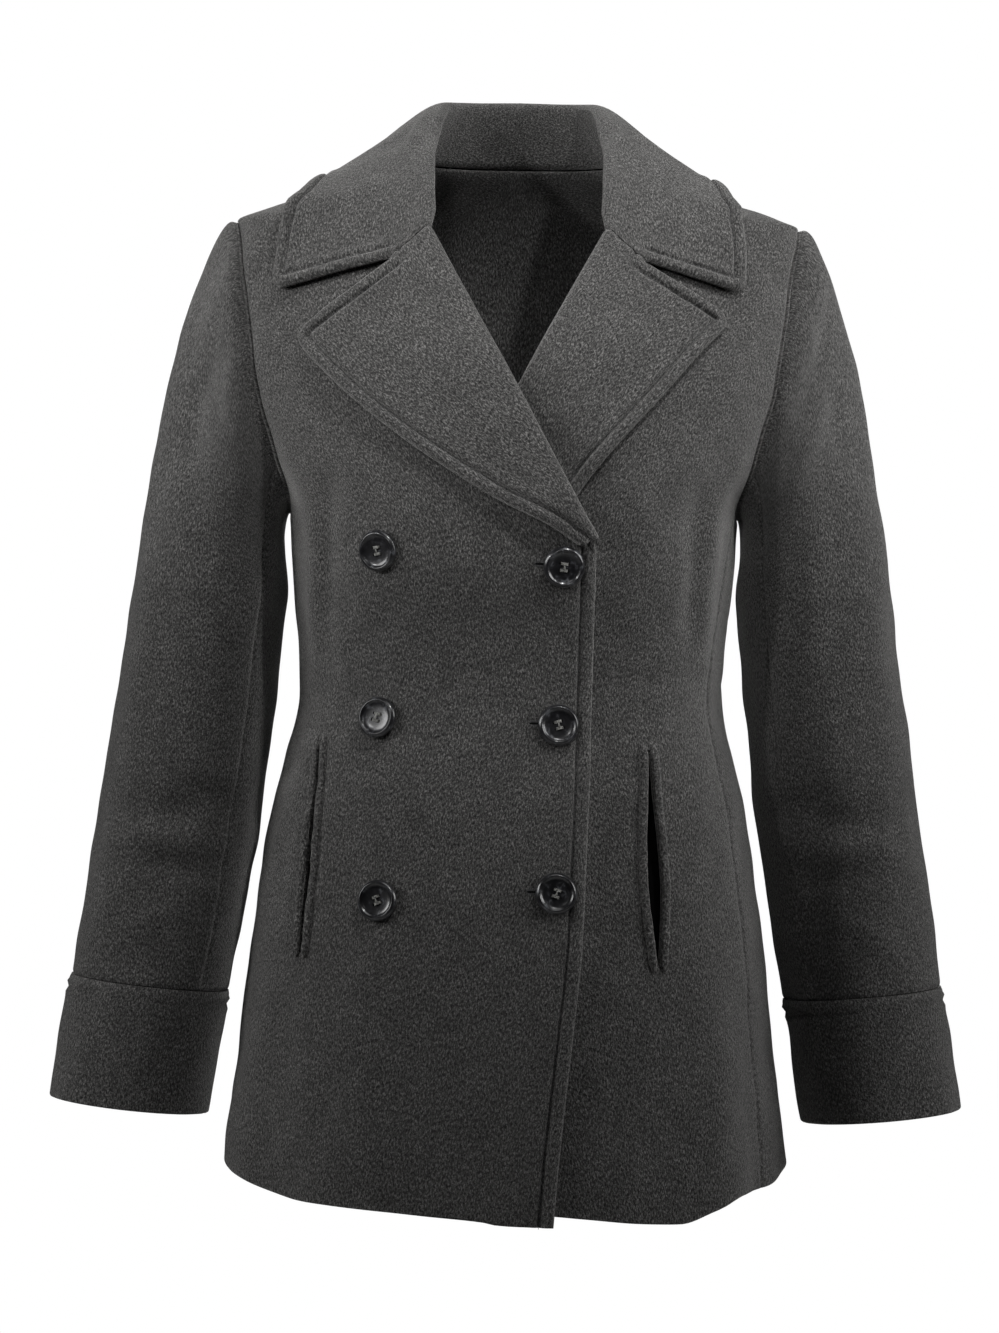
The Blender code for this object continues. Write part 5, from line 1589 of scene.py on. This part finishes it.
# A noise at places on the cloth, stretched along one way of it.
def fibres(tree, places, scale, angle, detail=2.0, seed=0.0):
    turned = node(
        tree, "ShaderNodeMapping", {"Vector": places}, Location=(seed, seed * 0.7, 0),
        Rotation=(0, 0, radians(angle)), Scale=scale,
    )
    noise = {"Vector": turned.outputs["Vector"]}
    noise = node(tree, "ShaderNodeTexNoise", noise, Scale=1.0, Detail=detail, Roughness=0.6)
    return noise.outputs["Fac"]


def maths(tree, operation, *values):
    made = node(tree, "ShaderNodeMath", operation=operation)
    for socket, value in zip(made.inputs, values):
        if isinstance(value, (int, float)):
            socket.default_value = value
        else:
            tree.links.new(value, socket)
    return made.outputs[0]


def ramp(tree, value, low, high, start=0.0, end=1.0):
    made = node(tree, "ShaderNodeMapRange", {"Value": value}, interpolation_type="SMOOTHSTEP")
    for name, number in zip(("From Min", "From Max", "To Min", "To Max"), (low, high, start, end)):
        made.inputs[name].default_value = number
    return made.outputs["Result"]


def colours(tree, factor, stops):
    made = node(tree, "ShaderNodeValToRGB", {"Fac": factor})
    line = made.color_ramp
    while len(line.elements) < len(stops):
        line.elements.new(0.5)
    for element, (place, colour) in zip(line.elements, stops):
        element.position = place
        element.color = (*colour, 1)
    return made.outputs["Color"]


# Heathered, brushed wool: a colour, a roughness and a height, from places on the cloth in metres.
def meltonGroup():
    tree = bpy.data.node_groups.new("melton", "ShaderNodeTree")
    tree.interface.new_socket("Places", in_out="INPUT", socket_type="NodeSocketVector")
    for name, kind in (("Colour", "Color"), ("Roughness", "Float"), ("Height", "Float")):
        tree.interface.new_socket(name, in_out="OUTPUT", socket_type="NodeSocket" + kind)
    places = tree.nodes.new("NodeGroupInput").outputs["Places"]
    end = tree.nodes.new("NodeGroupOutput")
    clumps = [
        ramp(tree, fibres(tree, places, scale, angle, seed=seed), 0.46, 0.70)
        for scale, angle, seed in (((980, 400, 1), 8, 1), ((940, 420, 1), 62, 5), ((1000, 430, 1), -48, 9))
    ]
    light = maths(tree, "MAXIMUM", maths(tree, "MAXIMUM", clumps[0], clumps[1]), clumps[2])
    dark = ramp(tree, fibres(tree, places, (620, 480, 1), 20, 3.0, 13), 0.48, 0.64)
    mottle = ramp(tree, fibres(tree, places, (70, 50, 1), 30, 2.0, 3), 0.25, 0.75)
    value = maths(tree, "MULTIPLY_ADD", light, 0.52, maths(tree, "MULTIPLY", mottle, 0.08))
    value = maths(tree, "SUBTRACT", value, maths(tree, "MULTIPLY", dark, 0.28))
    value = maths(tree, "ADD", value, 0.27)
    colour = colours(tree, value, [
        (0.0, (0.009, 0.0089, 0.0087)), (0.35, (0.036, 0.0354, 0.0347)),
        (0.7, (0.105, 0.1028, 0.1005)), (1.0, (0.310, 0.305, 0.298)),
    ])
    tree.links.new(colour, end.inputs["Colour"])
    tree.links.new(ramp(tree, mottle, 0, 1, 0.86, 0.97), end.inputs["Roughness"])
    nap = fibres(tree, places, (1900, 900, 1), -20, 3.0, 21)
    height = maths(tree, "MULTIPLY_ADD", nap, 0.35, maths(tree, "MULTIPLY", light, 0.5))
    height = maths(tree, "SUBTRACT", height, maths(tree, "MULTIPLY", dark, 0.45))
    tree.links.new(height, end.inputs["Height"])
    return tree


def plainMaterial(name, colour, roughness, **settings):
    made = bpy.data.materials.new(name)
    made.use_nodes = True
    shader = made.node_tree.nodes["Principled BSDF"]
    shader.inputs["Base Color"].default_value = (*colour, 1)
    shader.inputs["Roughness"].default_value = roughness
    for socket, value in settings.items():
        shader.inputs[socket.replace("_", " ")].default_value = value
    return made


# Gives a material its colour and a relief, each from an output, and its roughness if there is one.
def surfaced(made, colour, height=None, depth=0.0002, strength=0.5, roughness=None):
    tree = made.node_tree
    linked = {"Base Color": colour}
    if height:
        bump = node(tree, "ShaderNodeBump", {"Height": height}, Strength=strength, Distance=depth)
        linked["Normal"] = bump.outputs["Normal"]
    if roughness:
        linked["Roughness"] = roughness
    for name, output in linked.items():
        tree.links.new(output, tree.nodes["Principled BSDF"].inputs[name])
    return made


def woolMaterial(name, group, bump):
    made = plainMaterial(
        name, (0.8, 0.8, 0.8), 0.5, Specular_IOR_Level=0.15, Sheen_Weight=0.5,
        Sheen_Roughness=0.38, Sheen_Tint=(0.80, 0.79, 0.77, 1),
    )
    places = node(made.node_tree, "ShaderNodeUVMap", uv_map="cloth").outputs["UV"]
    cloth = node(made.node_tree, "ShaderNodeGroup", {"Places": places}, node_tree=group).outputs
    return surfaced(made, cloth["Colour"], cloth["Height"], 0.0010, bump, cloth["Roughness"])


# Twill of the pocket bags, almost black: their own dark colour, pushed near black as painted shade so that
# the open pocket slits read black. The buttonholes' dark tubes use it as painted shade too.
def pocketingAndShadeMaterial():
    made = plainMaterial("pocketing", (0.002, 0.002, 0.002), 0.95, Specular_IOR_Level=0.15)
    tree = made.node_tree
    places = {"Vector": node(tree, "ShaderNodeTexCoord").outputs["UV"]}
    ribs = node(tree, "ShaderNodeTexWave", places, bands_direction="DIAGONAL", Scale=420.0, Distortion=1.2)
    ribs = ribs.outputs["Fac"]
    stops = [(0.2, (0.0012, 0.0012, 0.0014)), (0.8, (0.0040, 0.0040, 0.0044))]
    return surfaced(made, colours(tree, ribs, stops), ribs)


# Twisted thread, lighter on its worn strands.
def threadMaterial(name, low, high):
    made = plainMaterial(name, high, 0.6, Sheen_Weight=0.2)
    tree = made.node_tree
    places = node(tree, "ShaderNodeTexCoord").outputs["Object"]
    strands = fibres(tree, places, (900, 900, 900), 20, 3.0)
    return surfaced(made, colours(tree, strands, [(0.36, low), (0.62, high)]), strands, strength=0.6)


def hornMaterial():
    made = plainMaterial(
        "horn", (0.008, 0.008, 0.008), 0.30, Specular_IOR_Level=0.45, Coat_Weight=0.25,
        Coat_Roughness=0.14,
    )
    tree = made.node_tree
    places = {"Vector": node(tree, "ShaderNodeTexCoord").outputs["Object"]}
    warp = node(tree, "ShaderNodeTexNoise", places, Scale=160.0, Detail=3.0)
    veins = node(tree, "ShaderNodeTexNoise", places, Scale=210.0, Detail=5.0, Distortion=1.6)
    mask = maths(tree, "MULTIPLY", veins.outputs["Fac"], warp.outputs["Fac"])
    return surfaced(made, colours(tree, mask, [
        (0.20, (0.006, 0.006, 0.007)), (0.30, (0.016, 0.016, 0.018)),
        (0.38, (0.075, 0.078, 0.085)), (0.55, (0.020, 0.020, 0.022)),
    ]))


# ---- the coat ----

print("surfaces")
melton = meltonGroup()
wool = woolMaterial("wool", melton, 0.55)
# near-black pocketing: the bags' own colour plus painted shade, and painted shade in the buttonholes
dark = pocketingAndShadeMaterial()
horn = hornMaterial()
thread = threadMaterial("thread", (0.016, 0.016, 0.016), (0.26, 0.26, 0.24))
silk = threadMaterial("silk", (0.012, 0.012, 0.014), (0.085, 0.086, 0.090))

pieces = {}
fronts = {}
sewnEdges = {}
for side, word in ((-1, "right"), (1, "left")):
    fronts[word], nets = makeFront(side, word, wool)
    pieces["front_" + word] = fronts[word]
    if side < 0:
        low = tallRows <= armRow
        outer, inner = nets[0][low, ::-1], nets[1][low, ::-1]
        apart = distance(outer, [outer[:, -1]])
        sewnEdges["front_right"] = [stitchLine(outer, inner, apart, fine["frontInset"])]
    print("front", word)
    pieces.update(makePocket(side, word, fronts[word], wool, dark))
    pieces["side_" + word] = makeSide(side, word, wool)
    for stem, made in makeSleeve(side, word, wool).items():
        pieces[stem + word] = made
    pieces["lapel_" + word], nets, rim = makeLapel(side, word, wool)
    sewnEdges["lapel_" + word] = edgeLines(*nets, rim, fine["lapelInset"])
    print("side, sleeve, pocket and lapel", word)
pieces["back"] = makeBack(wool)
pieces["collar"], nets, rim = makeCollar(wool)
left, right = np.arange(len(rim) // 2)[::-1], np.arange(len(rim) // 2, len(rim))
sewnEdges["collar"] = [stitchLine(*nets, rim, fine["collarInset"])]
for half in (left, right):
    sewnEdges["collar"].append(edgeLines(nets[0][half], nets[1][half], rim[half], fine["collarInset"])[1])
print("back and collar")

tree = stitchTree()
sewn = {}
for name, lines in sewnEdges.items():
    sewn["stitches_" + name] = stitchPiece(
        "stitches_" + name, tree, lines, silk, stitches["pitch"], stitches["length"],
        stitches["thickness"], 0.0,
    )
print("stitches")
for made in makeButtonholes(fronts["right"], tree, silk, dark):
    sewn[made.name] = made
for name, made, sewing in makeButtons(fronts["right"], horn, thread):
    pieces[name] = made
    sewn[name] = sewing
print("buttons")

for name, piece in pieces.items():
    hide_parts(name)
    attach(piece, "root")
for name, sewing in sewn.items():
    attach(sewing, "root")

# ---- camera, lights and floor ----

stage = {
    "distance": 2.6,
    "aim": (-0.0081, -0.354),
    "turn": 0.9,
    "lens": 100.3,
    "floor": -1.75,
    "softAim": -0.30,       # level that the softboxes look at
    "softSize": 0.09,       # radius of the spots
    "floorRadius": 2.5,
}
scene = bpy.context.scene
scene.view_settings.view_transform = "Standard"
lens = bpy.data.cameras.new("camera")
lens.sensor_fit = "VERTICAL"
lens.sensor_height = 36
lens.lens = stage["lens"]
camera = placed("camera", lens)
camera.location = (stage["aim"][0], -stage["distance"], stage["aim"][1])
camera.rotation_euler = (radians(90), 0, 0)
camera.rotation_euler.rotate_axis("Z", radians(stage["turn"]))
scene.camera = camera

world = bpy.data.worlds.new("world")
scene.world = world
world.use_nodes = True
tree = world.node_tree
background = tree.nodes["Background"]
background.inputs["Color"].default_value = (1, 1, 1, 1)
path = node(tree, "ShaderNodeLightPath")
tree.links.new(path.outputs["Is Camera Ray"], background.inputs["Strength"])

softboxes = table(
    "x     y     z      size  power",
    (-1.85, -0.55, 0.30, 0.9, 24.0),
    (1.85, -0.45, 0.30, 0.9, 24.0),
    (0.20, -0.40, 1.50, 0.9, 7.0),
    (0.20, 2.30, 0.30, 0.9, 14.0),
)
spots = table(
    "x     y     z     aim    cone  power",
    (-0.30, -2.40, 0.90, -0.18, 17.0, 46.0),
    (-1.75, -1.45, 0.65, -0.15, 15.5, 84.0),
    (1.55, -0.90, 0.90, -0.15, 18.0, 30.0),
    (0.75, -1.20, 1.60, -0.22, 18.0, 112.0),
)


def addLight(kind, place, aim, power):
    lamp = bpy.data.lights.new("light", kind)
    lamp.energy = power
    made = placed("light", lamp)
    made.location = place
    made.rotation_euler = (Vector((0, 0, aim)) - Vector(place)).to_track_quat("-Z", "Y").to_euler()
    return lamp


for x, y, z, size, power in zip(*softboxes.values()):
    addLight("AREA", (x, y, z), stage["softAim"], power).size = size
for x, y, z, aim, cone, power in zip(*spots.values()):
    lamp = addLight("SPOT", (x, y, z), aim, power)
    lamp.spot_size = radians(cone)
    lamp.spot_blend = 1.0
    lamp.shadow_soft_size = stage["softSize"]

disc = bmesh.new()
bmesh.ops.create_circle(disc, cap_ends=True, segments=96, radius=stage["floorRadius"])
floorMesh = bpy.data.meshes.new("floor")
disc.to_mesh(floorMesh)
disc.free()
floorPiece = placed("floor", floorMesh)
floorMesh.transform(Matrix.Translation((0, 0, stage["floor"])))
floorMesh.materials.append(plainMaterial("floor", (0.85, 0.85, 0.85), 0.9))
print("camera, lights and floor")
